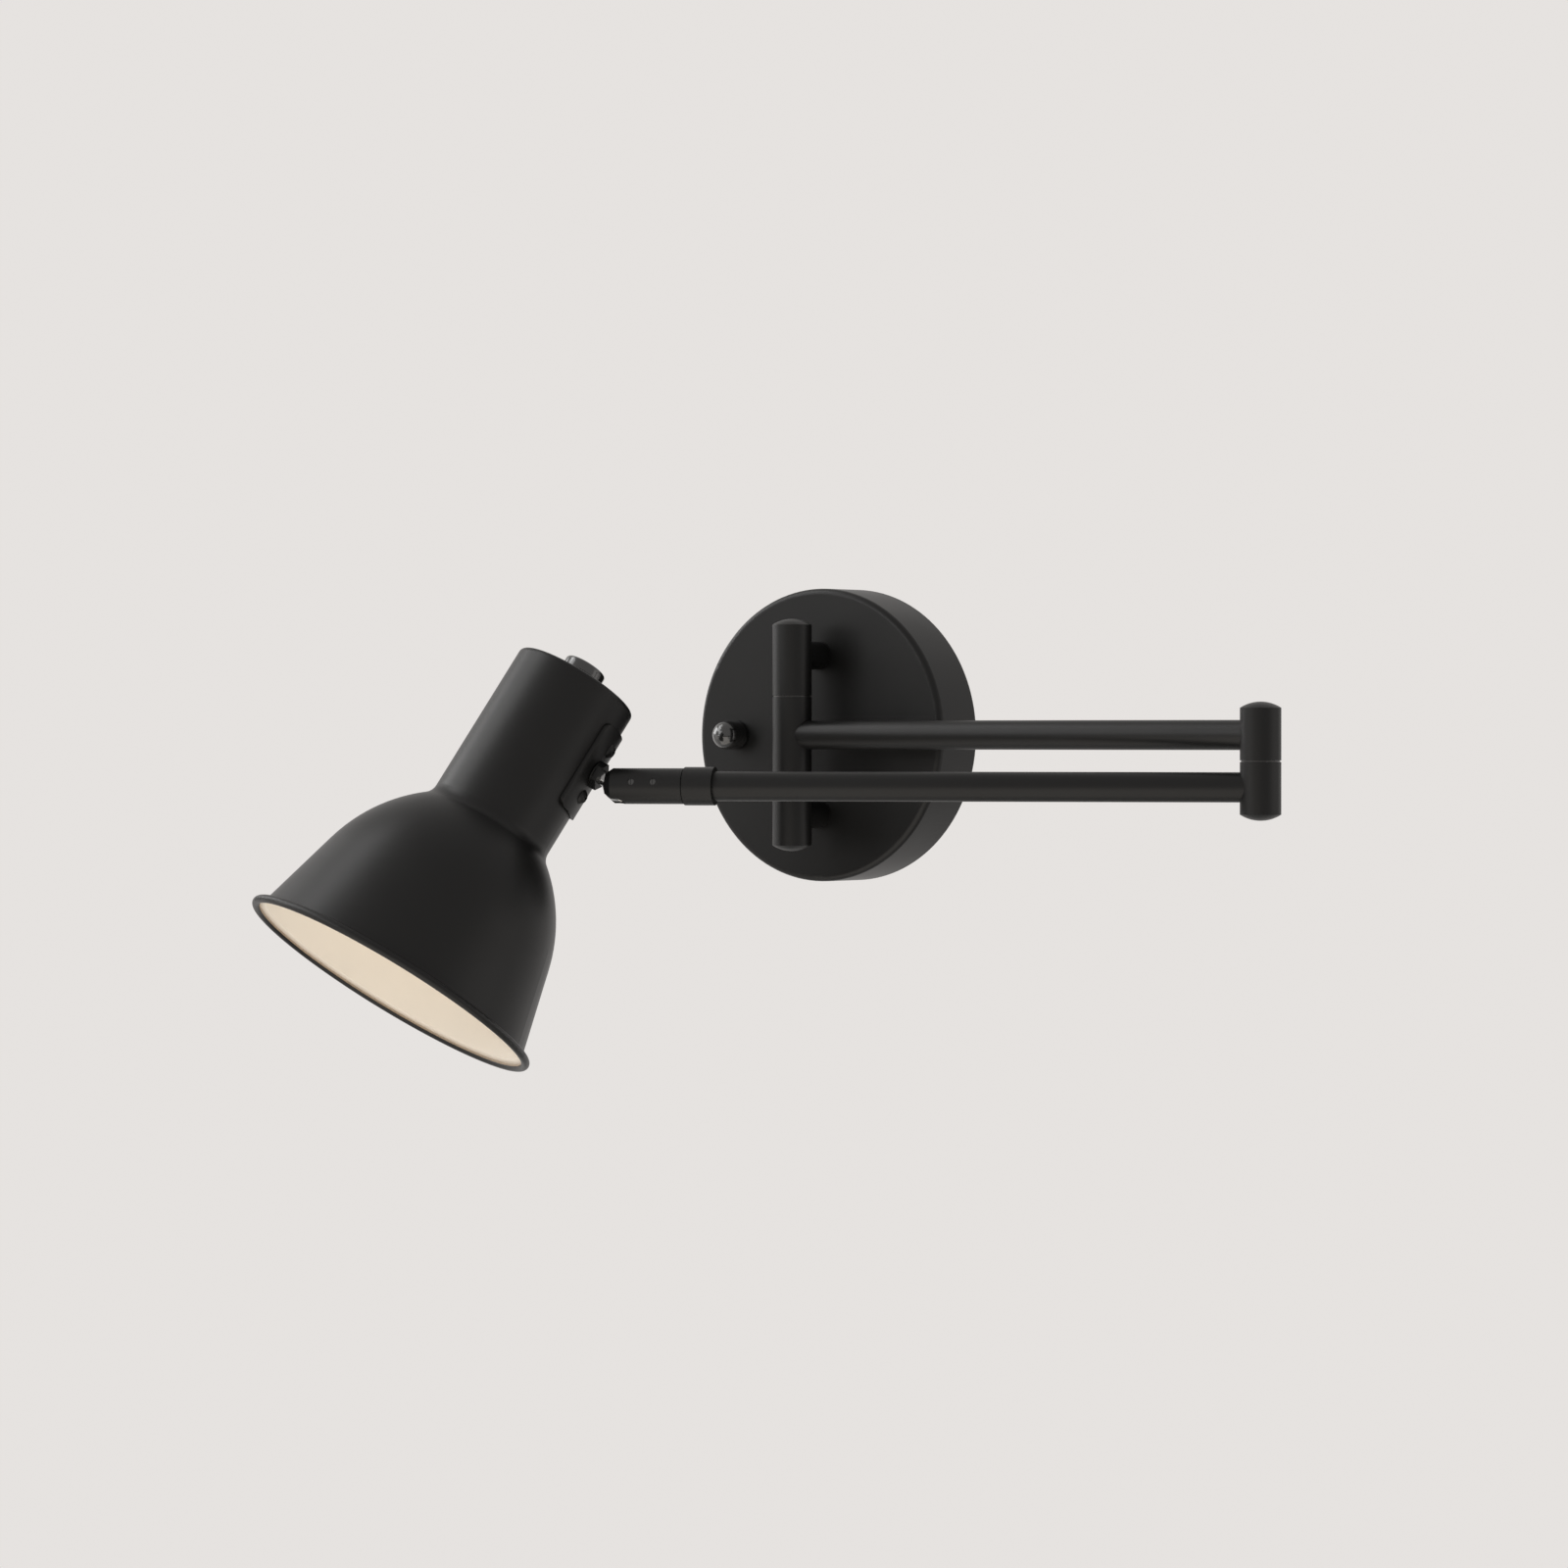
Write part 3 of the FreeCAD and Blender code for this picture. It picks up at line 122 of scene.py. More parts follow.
BLACK_NODES = (
    "canopy", "post_spacers", "knuckle_upper", "knuckle_middle", "knuckle_lower",
    "knuckle_cap_upper", "knuckle_cap_lower", "arm_1_tube", "elbow_upper", "elbow_lower",
    "elbow_cap_upper", "elbow_cap_lower", "arm_2_tube", "arm_2_collar", "swivel_sleeve",
    "plate_screws", "stem_nut", "stem_washer",
)
GLOSS_NODES = ("cap_nuts", "ring_nut", "sleeve_grub_screws")
STEEL_NODES = (
    "mounting_bar", "stud_nuts", "terminal_screws", "post_washers", "post_nuts",
    "knuckle_pivot", "pivot_nuts", "elbow_rivet", "elbow_snap_ring", "disc_springs",
    "stem_inner_nut", "backing_plate",
)
BRASS_NODES = ("earth_screw", "centre_contact", "switch_leaves")
BALL_NODES = ("ball_stud",)
CERAMIC_NODES = ("contact_insert",)
BAKELITE_NODES = (
    "switch_housing", "lampholder", "switch_shaft", "knuckle_washers", "elbow_washer",
)
NYLON_NODES = ("terminal_block", "seat_cup")

# ---------------------------------------------------------------- settings


class LampPaint(bpy.types.PropertyGroup):
    """Colours and surfaces of the painted parts."""

    black: FloatVectorProperty(
        name="Black", description="Powder coat of the arms and the shade's outside",
        subtype="COLOR", size=3, min=0, max=1, default=(0.0070, 0.0069, 0.0068),
    )
    roughness: FloatProperty(
        name="Roughness", description="Roughness of the powder coat",
        subtype="FACTOR", min=0, max=1, default=0.40,
    )
    shine: FloatProperty(
        name="Shine", description="How strongly the satin paint reflects",
        subtype="FACTOR", min=0, max=1, default=0.22,
    )
    grain: FloatProperty(
        name="Grain", description="Size of the powder coat's grain",
        unit="LENGTH", min=0.0001, default=0.0006,
    )
    lining: FloatVectorProperty(
        name="Lining", description="Lacquer inside the shade",
        subtype="COLOR", size=3, min=0, max=1, default=(0.93, 0.87, 0.78),
    )
    lining_end: FloatProperty(
        name="Lining end", description="Level below the neck's top where the lining stops",
        unit="LENGTH", default=-0.1431,
    )
    # painted shade: the height over which the lining darkens towards the rim
    rim_shade_height: FloatProperty(
        name="Lining fade", description="Height over which the lining darkens towards the rim",
        unit="LENGTH", min=0.0001, default=0.0022,
    )
    # painted shade: the dark brown that the lining turns into next to the rolled rim
    rim_painted_shade: FloatVectorProperty(
        name="Lining edge", description="Thin lacquer next to the rolled rim",
        subtype="COLOR", size=3, min=0, max=1, default=(0.30, 0.22, 0.15),
    )
    lining_matt: FloatProperty(
        name="Lining matt", description="How much rougher the lining is than the powder coat",
        subtype="FACTOR", min=0, max=1, default=0.08,
    )
    neck_radius: FloatProperty(
        name="Neck", description="Radius inside which a flat face under the shade's top is lining",
        unit="LENGTH", min=0.001, default=0.0255,
    )


class LampFinishes(bpy.types.PropertyGroup):
    """Colours of the glossy, metal, moulded and ceramic parts."""

    gloss_dark: FloatVectorProperty(
        name="Gloss black", description="Darker tone of cap nuts, ring nut, grub screws and knob",
        subtype="COLOR", size=3, min=0, max=1, default=(0.012, 0.012, 0.012),
    )
    gloss_light: FloatVectorProperty(
        name="Gloss waves", description="Lighter tone of cap nuts, ring nut, grub screws and knob",
        subtype="COLOR", size=3, min=0, max=1, default=(0.02, 0.02, 0.02),
    )
    steel: FloatVectorProperty(
        name="Zinc", description="Zinc-plated bar, nuts, washers, pivots and threads",
        subtype="COLOR", size=3, min=0, max=1, default=(0.56, 0.57, 0.58),
    )
    brass: FloatVectorProperty(
        name="Brass", description="Earth screw, centre contact and switch leaves",
        subtype="COLOR", size=3, min=0, max=1, default=(0.70, 0.50, 0.22),
    )
    ball: FloatVectorProperty(
        name="Ball", description="Dark polished steel of the ball stud",
        subtype="COLOR", size=3, min=0, max=1, default=(0.30, 0.30, 0.30),
    )
    aluminium: FloatVectorProperty(
        name="Aluminium", description="Rolled shell of the bulb's thread",
        subtype="COLOR", size=3, min=0, max=1, default=(0.78, 0.78, 0.77),
    )
    ceramic: FloatVectorProperty(
        name="Ceramic", description="Contact insert of the lampholder",
        subtype="COLOR", size=3, min=0, max=1, default=(0.82, 0.80, 0.75),
    )
    bakelite: FloatVectorProperty(
        name="Bakelite", description="Lampholder, switch and friction washers",
        subtype="COLOR", size=3, min=0, max=1, default=(0.03, 0.028, 0.026),
    )
    nylon: FloatVectorProperty(
        name="Nylon", description="Terminal block and the ball's seat",
        subtype="COLOR", size=3, min=0, max=1, default=(0.75, 0.74, 0.70),
    )


class LampThreads(bpy.types.PropertyGroup):
    """Sizes of the screw threads."""

    shell_pitch: FloatProperty(
        name="Shell pitch", description="Pitch of the bulb's thread",
        unit="LENGTH", min=0.001, default=0.00363,
    )
    shell_depth: FloatProperty(
        name="Shell depth", description="Depth of the rolled bulb thread",
        unit="LENGTH", min=0.0001, default=0.0007,
    )
    shell_sheet: FloatProperty(
        name="Shell sheet", description="Sheet of the bulb shell",
        unit="LENGTH", min=0.0001, default=0.0003,
    )
    nipple_pitch: FloatProperty(
        name="Nipple pitch", description="Pitch of the hollow nipples",
        unit="LENGTH", min=0.0005, default=0.001,
    )
    nipple_bore: FloatProperty(
        name="Nipple bore", description="Radius of the hole through a nipple",
        unit="LENGTH", min=0.0005, default=0.0026,
    )
    end_inset: FloatProperty(
        name="End inset", description="How far a thread's cut end stays inside the plain rod's",
        unit="LENGTH", min=0, default=0.00015,
    )
    stud_pitch: FloatProperty(
        name="Stud pitch", description="Pitch of the cap nuts' studs",
        unit="LENGTH", min=0.0005, default=0.0007,
    )
    steps: IntProperty(
        name="Steps", description="Faces around one turn of a thread",
        min=12, max=96, default=40,
    )


class LampFittings(bpy.types.PropertyGroup):
    """Sizes of the switch knob and the bracket plate."""

    knob_radius: FloatProperty(
        name="Knob radius", description="Outside of the switch knob",
        unit="LENGTH", min=0.001, default=0.0088,
    )
    knob_top: FloatProperty(
        name="Knob top", description="Knob's top above the neck's",
        unit="LENGTH", min=0.001, default=0.0076,
    )
    knob_under: FloatProperty(
        name="Knob under", description="Knob's underside above the neck's top",
        unit="LENGTH", min=0, default=0.0017,
    )
    knob_edge: FloatProperty(
        name="Knob edge", description="Rounding of the knob's upper edge",
        unit="LENGTH", min=0.0001, default=0.0014,
    )
    knob_groove: FloatProperty(
        name="Knob groove", description="Depth of the groove above the knob's foot",
        unit="LENGTH", min=0.0001, default=0.0006,
    )
    knob_cavity: FloatProperty(
        name="Knob cavity", description="Radius of the hollow under the knob",
        unit="LENGTH", min=0.001, default=0.0056,
    )
    plate_width: FloatProperty(
        name="Plate width", description="Bracket plate across the neck",
        unit="LENGTH", min=0.005, default=0.0222,
    )
    plate_length: FloatProperty(
        name="Plate length", description="Bracket plate along the neck",
        unit="LENGTH", min=0.005, default=0.0382,
    )
    plate_corner: FloatProperty(
        name="Plate corner", description="Rounding of the plate's corners",
        unit="LENGTH", min=0.0001, default=0.003,
    )
    plate_thickness: FloatProperty(
        name="Plate thickness", description="Sheet of the bracket plate",
        unit="LENGTH", min=0.0005, default=0.0015,
    )
    plate_edge: FloatProperty(
        name="Plate edge", description="Rolled edge of the plate",
        unit="LENGTH", min=0.0001, default=0.0004,
    )
    seat_radius: FloatProperty(
        name="Plate seat", description="Hollow side of the plate, just clear of the neck",
        unit="LENGTH", min=0.001, default=0.02602,
    )
    stem_hole: FloatProperty(
        name="Stem hole", description="Radius of the hole for the ball stud",
        unit="LENGTH", min=0.0005, default=0.0034,
    )
    screw_hole: FloatProperty(
        name="Screw hole", description="Radius of the holes for the plate's screws",
        unit="LENGTH", min=0.0005, default=0.00185,
    )
    screw_spacing: FloatProperty(
        name="Screw spacing", description="Between the plate's screws",
        unit="LENGTH", min=0.001, default=0.0215,
    )


class LampStage(bpy.types.PropertyGroup):
    """Camera, light and floor."""

    lens: FloatProperty(
        name="Lens", description="Focal length of the camera in millimetres",
        min=20, max=300, default=133.7,
    )
    azimuth: FloatProperty(
        name="Azimuth", description="Camera's angle round the lamp",
        subtype="ANGLE", default=math.radians(34.9),
    )
    pitch: FloatProperty(
        name="Pitch", description="Camera's angle below the horizon",
        subtype="ANGLE", default=math.radians(0.482),
    )
    distance: FloatProperty(
        name="Distance", description="From the camera to the knuckle's axis",
        unit="LENGTH", min=0.1, default=2.371,
    )
    aside: FloatProperty(
        name="Aside", description="Knuckle's axis to the right of the picture's middle",
        unit="LENGTH", default=0.0033,
    )
    floor_level: FloatProperty(
        name="Floor level", description="Floor below the canopy's middle",
        unit="LENGTH", min=0.1, default=0.85,
    )
    floor_size: FloatProperty(
        name="Floor size", description="Side of the square floor",
        unit="LENGTH", min=0.1, default=1.6,
    )
    floor_pale: FloatVectorProperty(
        name="Floor tone", description="Pale tone of the floor",
        subtype="COLOR", size=3, min=0, max=1, default=(0.82, 0.82, 0.815),
    )
    floor_dull: FloatVectorProperty(
        name="Floor clouds", description="Slightly darker tone in the floor",
        subtype="COLOR", size=3, min=0, max=1, default=(0.78, 0.78, 0.775),
    )
    floor_glow: FloatProperty(
        name="Floor glow", description="Share of the backdrop's tone the camera sees in the floor",
        subtype="FACTOR", min=0, max=1, default=0.85,
    )
    backdrop: FloatVectorProperty(
        name="Backdrop", description="Pale background seen by the camera and in reflections",
        subtype="COLOR", size=3, min=0, max=1, default=(0.791, 0.765, 0.745),
    )
    ambient: FloatProperty(
        name="Ambient", description="Strength of the soft light from all round",
        min=0, max=5, default=1.0,
    )
    ambient_tint: FloatVectorProperty(
        name="Ambient tint", description="Colour of the soft light from all round",
        subtype="COLOR", size=3, min=0, max=1, default=(1.0, 0.99, 0.975),
    )
    light_power: FloatProperty(
        name="Light power", description="Power of which each light takes its share",
        unit="POWER", min=0, default=10,
    )


# ---------------------------------------------------------------- materials


class Nodes:
    """A tree that is built node by node."""

    def __init__(self, tree):
        self.tree = tree

    def add(self, kind, inputs=None, **settings):
        """A node with its settings; an input is a number, a colour or another node's output."""
        node = self.tree.nodes.new(kind)
        for key, content in settings.items():
            setattr(node, key, content)
        for key, content in (inputs or {}).items():
            self.feed(node.inputs[key], content)
        return node

    def feed(self, socket, content):
        if isinstance(content, bpy.types.NodeSocket):
            self.tree.links.new(content, socket)
        else:
            socket.default_value = content

    def maths(self, operation, *values):
        inputs = dict(enumerate(values))
        return self.add("ShaderNodeMath", inputs, operation=operation).outputs[0]

    def vectors(self, operation, *values, result="Vector", **inputs):
        """Maths with vectors, whose result is a Vector or a Value."""
        inputs.update(enumerate(values))
        return self.add("ShaderNodeVectorMath", inputs, operation=operation).outputs[result]


class Surface(Nodes):
    """A procedural material round one shader."""

    def __init__(self, name):
        self.material = bpy.data.materials.new(name)
        self.material.use_nodes = True
        super().__init__(self.material.node_tree)
        self.shader = self.tree.nodes["Principled BSDF"]
        self.place = self.add("ShaderNodeTexCoord").outputs["Object"]

    def set(self, **inputs):
        """Inputs of the shader, with _ for a space in their names."""
        for key, content in inputs.items():
            self.feed(self.shader.inputs[key.replace("_", " ")], content)

    def noise(self, size, detail):
        """Noise whose grain is about this many metres."""
        inputs = {"Vector": self.place, "Scale": 1 / size, "Detail": detail}
        return self.add("ShaderNodeTexNoise", inputs).outputs["Fac"]

    def spread(self, value, low, high, start=0.0, end=1.0):
        """The value from start to end spread over low to high."""
        return self.add("ShaderNodeMapRange", {
            "Value": value, "From Min": start, "From Max": end, "To Min": low, "To Max": high,
        }).outputs["Result"]

    def mix(self, factor, first, second):
        """One colour turning into another; the node's colours are its sockets 6, 7 and 2."""
        inputs = {0: factor, 6: first, 7: second}
        return self.add("ShaderNodeMix", inputs, data_type="RGBA").outputs[2]

    def bump(self, height, strength, distance):
        inputs = {"Height": height, "Strength": strength, "Distance": distance}
        self.set(Normal=self.add("ShaderNodeBump", inputs).outputs["Normal"])
        return self


def solid(colour):
    return (*colour, 1.0)


def shaded(colour, factor):
    return tuple(channel * factor for channel in colour) + (1.0,)


def give(names, material):
    """Puts one material on every slot of these CAD nodes."""
    for name in names:
        node = frame["nodes"][name]
        if not node.material_slots:
            node.data.materials.append(material)
        for place in node.material_slots:
            place.material = material


def powder_coat(name):
    """Matte black powder coat with a fine grain and slightly uneven sheen."""
    paint = bpy.context.scene.lamp_paint
    surface = Surface(name)
    grain = surface.noise(size=paint.grain, detail=3.0)
    patches = surface.noise(size=PATCH_GRAINS * paint.grain, detail=2.0)
    dark, light = shaded(paint.black, 1 - PATCH_TONE), shaded(paint.black, 1 + PATCH_TONE)
    uneven = surface.spread(patches, low=-PATCH_ROUGHNESS, high=PATCH_ROUGHNESS)
    surface.set(
        Base_Color=surface.mix(patches, dark, light),
        Roughness=surface.maths("ADD", uneven, paint.roughness),
        Specular_IOR_Level=paint.shine,
    )
    return surface.bump(grain, strength=0.12, distance=0.04 * MM)


def lined_paint(name):
    """Powder coat outside, and pale lacquer on the faces that look in at the shade's axis."""
    paint = bpy.context.scene.lamp_paint
    surface = powder_coat(name)
    top, axis = tuple(HEAD.translation), tuple(HEAD.col[2].xyz)
    normal = surface.add("ShaderNodeTexCoord").outputs["Normal"]
    away = surface.vectors("SUBTRACT", surface.place, top)
    level = surface.vectors("DOT_PRODUCT", away, axis, result="Value")
    radial = surface.vectors("SUBTRACT", away, surface.vectors("SCALE", axis, Scale=level))
    radius = surface.vectors("LENGTH", radial, result="Value")
    turned_out = surface.vectors("DOT_PRODUCT", normal, radial, result="Value")
    turned_up = surface.vectors("DOT_PRODUCT", normal, axis, result="Value")
    looks_in = surface.maths("LESS_THAN", turned_out, LOOKS_IN)
    under_top = surface.maths(
        "MULTIPLY",
        surface.maths("LESS_THAN", turned_up, LOOKS_DOWN),
        surface.maths("LESS_THAN", radius, paint.neck_radius),
    )
    above_rim = surface.maths("GREATER_THAN", level, paint.lining_end)
    inside = surface.maths("MULTIPLY", above_rim, surface.maths("MAXIMUM", looks_in, under_top))
    # painted shade: the lining turns dark brown towards the rolled rim, where shade falls
    clear_of_rim_shade = surface.spread(
        level, low=0.0, high=1.0,
        start=paint.lining_end, end=paint.lining_end + paint.rim_shade_height,
    )
    lacquer = surface.mix(clear_of_rim_shade, solid(paint.rim_painted_shade), solid(paint.lining))
    coat = surface.shader.inputs["Base Color"].links[0].from_socket
    coat_roughness = surface.shader.inputs["Roughness"].links[0].from_socket
    surface.set(
        Base_Color=surface.mix(inside, coat, lacquer),
        Roughness=surface.maths("MULTIPLY_ADD", inside, paint.lining_matt, coat_roughness),
    )
    return surface


def gloss(name):
    """Glossy black with a faint waviness."""
    finishes = bpy.context.scene.lamp_finishes
    surface = Surface(name)
    waves = surface.noise(size=6 * MM, detail=1.0)
    surface.set(
        Base_Color=surface.mix(waves, solid(finishes.gloss_dark), solid(finishes.gloss_light)),
        Roughness=surface.spread(waves, low=0.16, high=0.24),
        Coat_Weight=0.6,
        Coat_Roughness=0.06,
    )
    return surface.bump(waves, strength=0.06, distance=0.1 * MM)


def metal(name, colour, roughness):
    """Metal with fine stains."""
    surface = Surface(name)
    stains = surface.noise(size=2 * MM, detail=4.0)
    surface.set(
        Base_Color=surface.mix(stains, shaded(colour, factor=0.78), solid(colour)),
        Metallic=1.0,
        Roughness=surface.spread(stains, low=0.75 * roughness, high=1.3 * roughness),
    )
    return surface.bump(stains, strength=0.08, distance=0.05 * MM)


def moulded(name, colour, roughness):
    """Moulded plastic or ceramic with a soft mottle."""
    surface = Surface(name)
    mottle = surface.noise(size=3 * MM, detail=3.0)
    surface.set(
        Base_Color=surface.mix(mottle, shaded(colour, factor=0.9), solid(colour)),
        Roughness=surface.spread(mottle, low=roughness - 0.05, high=roughness + 0.07),
    )
    return surface.bump(mottle, strength=0.05, distance=0.05 * MM)


# ---------------------------------------------------------------- modelling


def deselect():
    if bpy.context.object and bpy.context.object.mode != "OBJECT":
        bpy.ops.object.mode_set(mode="OBJECT")
    bpy.ops.object.select_all(action="DESELECT")


def only(piece):
    """Makes a piece the only one selected, and the active one."""
    deselect()
    piece.select_set(True)
    bpy.context.view_layer.objects.active = piece


def apply_modifiers(piece):
    only(piece)
    for modifier in list(piece.modifiers):
        bpy.ops.object.modifier_apply(modifier=modifier.name)


def profile(name, points):
    """An open line in the XZ plane, drawn by extruding one corner."""
    deselect()
    bpy.ops.mesh.primitive_plane_add(size=MM)
    piece = bpy.context.object
    piece.name = piece.data.name = name
    bpy.ops.object.mode_set(mode="EDIT")
    bpy.ops.mesh.select_all(action="SELECT")
    bpy.ops.mesh.merge(type="CENTER")
    bpy.ops.transform.translate(value=Vector(points[0]))
    for before, after in zip(points, points[1:]):
        step = Vector(after) - Vector(before)
        bpy.ops.mesh.extrude_region_move(TRANSFORM_OT_translate={"value": step})
    bpy.ops.object.mode_set(mode="OBJECT")
    return piece


def wind(piece, pitch, turns, steps):
    """Winds a one-pitch profile up the Z axis."""
    screw = piece.modifiers.new("Wind", "SCREW")
    screw.axis = "Z"
    screw.screw_offset = pitch
    screw.iterations = turns
    screw.steps = screw.render_steps = steps
    screw.use_smooth_shade = True
    apply_modifiers(piece)
    bpy.ops.object.mode_set(mode="EDIT")
    bpy.ops.mesh.select_all(action="SELECT")
    bpy.ops.mesh.remove_doubles(threshold=WELD)
    bpy.ops.object.mode_set(mode="OBJECT")


def cut_flat(piece, low, high):
    """Cuts a piece off square at two levels and closes the cuts."""
    for level, above in ((low, False), (high, True)):
        only(piece)
        bpy.ops.object.mode_set(mode="EDIT")
        bpy.ops.mesh.select_all(action="SELECT")
        bpy.ops.mesh.bisect(
            plane_co=(0, 0, level), plane_no=(0, 0, 1), use_fill=True,
            clear_inner=not above, clear_outer=above,
        )
        bpy.ops.object.mode_set(mode="OBJECT")


def face_outwards(piece):
    only(piece)
    bpy.ops.object.mode_set(mode="EDIT")
    bpy.ops.mesh.select_all(action="SELECT")
    bpy.ops.mesh.normals_make_consistent(inside=False)
    bpy.ops.object.mode_set(mode="OBJECT")


def combine(piece, tool, operation):
    """Cuts a piece with a tool, or keeps what they share; the tool is used up."""
    modifier = piece.modifiers.new("Combine", "BOOLEAN")
    modifier.operation = operation
    modifier.solver = "EXACT"
    modifier.object = tool
    apply_modifiers(piece)
    bpy.data.objects.remove(tool)


def rod_along(radius, start, end, vertices=ROD_STEPS):
    """A plain rod between two points."""
    way = Vector(end) - Vector(start)
    deselect()
    bpy.ops.mesh.primitive_cylinder_add(
        vertices=vertices,
        radius=radius,
        depth=way.length,
        location=(Vector(start) + Vector(end)) / 2,
        rotation=way.to_track_quat("Z", "Y").to_euler(),
    )
    bpy.ops.object.transform_apply(location=True, rotation=True, scale=True)
    return bpy.context.object


def bore(piece, radius, start, end):
    """Drills a hole from one point to another."""
    combine(piece, rod_along(radius, start, end), "DIFFERENCE")


def arc(centre, radius, first, last):
    """Points on an arc in the XZ plane, between two angles in degrees."""
    turn = (last - first) / CORNER_STEPS
    angles = [math.radians(first + turn * step) for step in range(CORNER_STEPS + 1)]
    return [
        (centre[0] + radius * math.cos(angle), 0, centre[1] + radius * math.sin(angle))
        for angle in angles
    ]


def rounded_block(width, length, corner, near, far):
    """A block along X whose YZ outline has rounded corners."""
    deselect()
    bpy.ops.mesh.primitive_plane_add(size=1, location=(near, 0, 0), rotation=(0, math.pi / 2, 0))
    block = bpy.context.object
    bpy.ops.transform.resize(value=(1, width, length))
    bpy.ops.object.transform_apply(location=True, rotation=True, scale=True)
    bpy.ops.object.mode_set(mode="EDIT")
    bpy.ops.mesh.select_all(action="SELECT")
    bpy.ops.mesh.bevel(offset=corner, segments=CORNER_STEPS, affect="VERTICES")
    bpy.ops.mesh.select_all(action="SELECT")
    bpy.ops.mesh.extrude_region_move(TRANSFORM_OT_translate={"value": (far - near, 0, 0)})
    bpy.ops.object.mode_set(mode="OBJECT")
    face_outwards(block)
    return block


def settle(piece, place, material, body, slot, *nodes):
    """Puts a finished piece in its place, paints it, ties it to its CAD body and hides the CAD nodes it replaces.
    """
    piece.matrix_world = place
    only(piece)
    bpy.ops.object.transform_apply(location=True, rotation=True, scale=True)
    bpy.ops.object.shade_smooth_by_angle(angle=SMOOTH_ANGLE)
    piece.data.materials.clear()
    piece.data.materials.append(material)
    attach(piece, body)
    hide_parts(*nodes)


def threaded_rod(name, radius, pitch, low, high, hole=0):
    """A rod or tube with a V thread all along."""
    crest, root = radius - CREST_INSET, radius - THREAD_DEPTH * pitch
    turns = math.ceil((high - low) / pitch) + SPARE_TURNS
    start = low - pitch
    rod = profile(name, [
        (crest, 0, start),
        (root, 0, start + ROOT_START * pitch),
        (root, 0, start + ROOT_END * pitch),
        (crest, 0, start + pitch),
    ])
    wind(rod, pitch, turns, bpy.context.scene.lamp_threads.steps)
    cut_flat(rod, low, high)
    face_outwards(rod)
    if hole:
        bore(rod, hole, (0, 0, low - MM), (0, 0, high + MM))
    return rod


def joined(name, pieces):
    """Several pieces made into one."""
    only(pieces[0])
    for piece in pieces:
        piece.select_set(True)
    bpy.ops.object.join()
    bpy.context.object.name = bpy.context.object.data.name = name
    return bpy.context.object


# ---------------------------------------------------------------- operators


class LAMP_OT_black_parts(bpy.types.Operator):
    """Matte black powder coat on the canopy, knuckle, arms, elbow and swivel"""

    bl_idname = "lamp.black_parts"
    bl_label = "Black parts"

    def execute(self, context):
        give(BLACK_NODES, powder_coat("black_powder_coat").material)
        return {"FINISHED"}


class LAMP_OT_shade(bpy.types.Operator):
    """Powder coat outside the shade and pale lacquer inside it"""

    bl_idname = "lamp.shade"
    bl_label = "Shade"

    def execute(self, context):
        give(("shade",), lined_paint("lined_powder_coat").material)
        return {"FINISHED"}


class LAMP_OT_gloss_parts(bpy.types.Operator):
    """Glossy black on the cap nuts, the ring nut and the grub screws"""

    bl_idname = "lamp.gloss_parts"
    bl_label = "Glossy parts"

    def execute(self, context):
        give(GLOSS_NODES, gloss("gloss_black").material)
        return {"FINISHED"}


class LAMP_OT_metal_parts(bpy.types.Operator):
    """Zinc-plated steel, brass and the polished ball stud"""

    bl_idname = "lamp.metal_parts"
    bl_label = "Metal parts"

    def execute(self, context):
        finishes = context.scene.lamp_finishes
        give(STEEL_NODES, metal("zinc_plated_steel", finishes.steel, roughness=0.32).material)
        give(BRASS_NODES, metal("brass", finishes.brass, roughness=0.28).material)
        give(BALL_NODES, metal("dark_polished_steel", finishes.ball, roughness=0.18).material)
        return {"FINISHED"}


class LAMP_OT_insulators(bpy.types.Operator):
    """Bakelite lampholder, ceramic insert and nylon parts"""

    bl_idname = "lamp.insulators"
    bl_label = "Insulators"

    def execute(self, context):
        finishes = context.scene.lamp_finishes
        give(CERAMIC_NODES, moulded("ceramic", finishes.ceramic, roughness=0.3).material)
        give(BAKELITE_NODES, moulded("bakelite", finishes.bakelite, roughness=0.35).material)
        give(NYLON_NODES, moulded("nylon", finishes.nylon, roughness=0.45).material)
        return {"FINISHED"}


class LAMP_OT_bulb_thread(bpy.types.Operator):
    """Rolled thread shell of the lampholder"""

    bl_idname = "lamp.bulb_thread"
    bl_label = "Bulb thread"

    def execute(self, context):
        threads = context.scene.lamp_threads
        socket = MOUNTS["bulb_socket"]
        outer = socket["dims"]["r_mm"] * MM + threads.shell_sheet
        half = socket["dims"]["length_mm"] * MM / 2
        pitch, depth = threads.shell_pitch, threads.shell_depth
        start = -half - pitch
        shell = profile("thread_shell_rolled", [
            (outer - depth * dip, 0, start + pitch * share) for share, dip in SHELL_WAVE
        ])
        wind(shell, pitch, math.ceil(2 * half / pitch) + SPARE_TURNS, threads.steps)
        face_outwards(shell)
        wall = shell.modifiers.new("Sheet", "SOLIDIFY")
        wall.thickness = threads.shell_sheet
        wall.offset = 1
        apply_modifiers(shell)
        cut_flat(shell, -half, half)
        face_outwards(shell)
        place = Matrix.Translation(Vector(socket["pos_m"])) @ HEAD.to_3x3().to_4x4()
        colour = context.scene.lamp_finishes.aluminium
        material = metal("rolled_aluminium", colour, roughness=0.3).material
        settle(shell, place, material, "head", "thread_aluminium", "thread_shell")
        return {"FINISHED"}


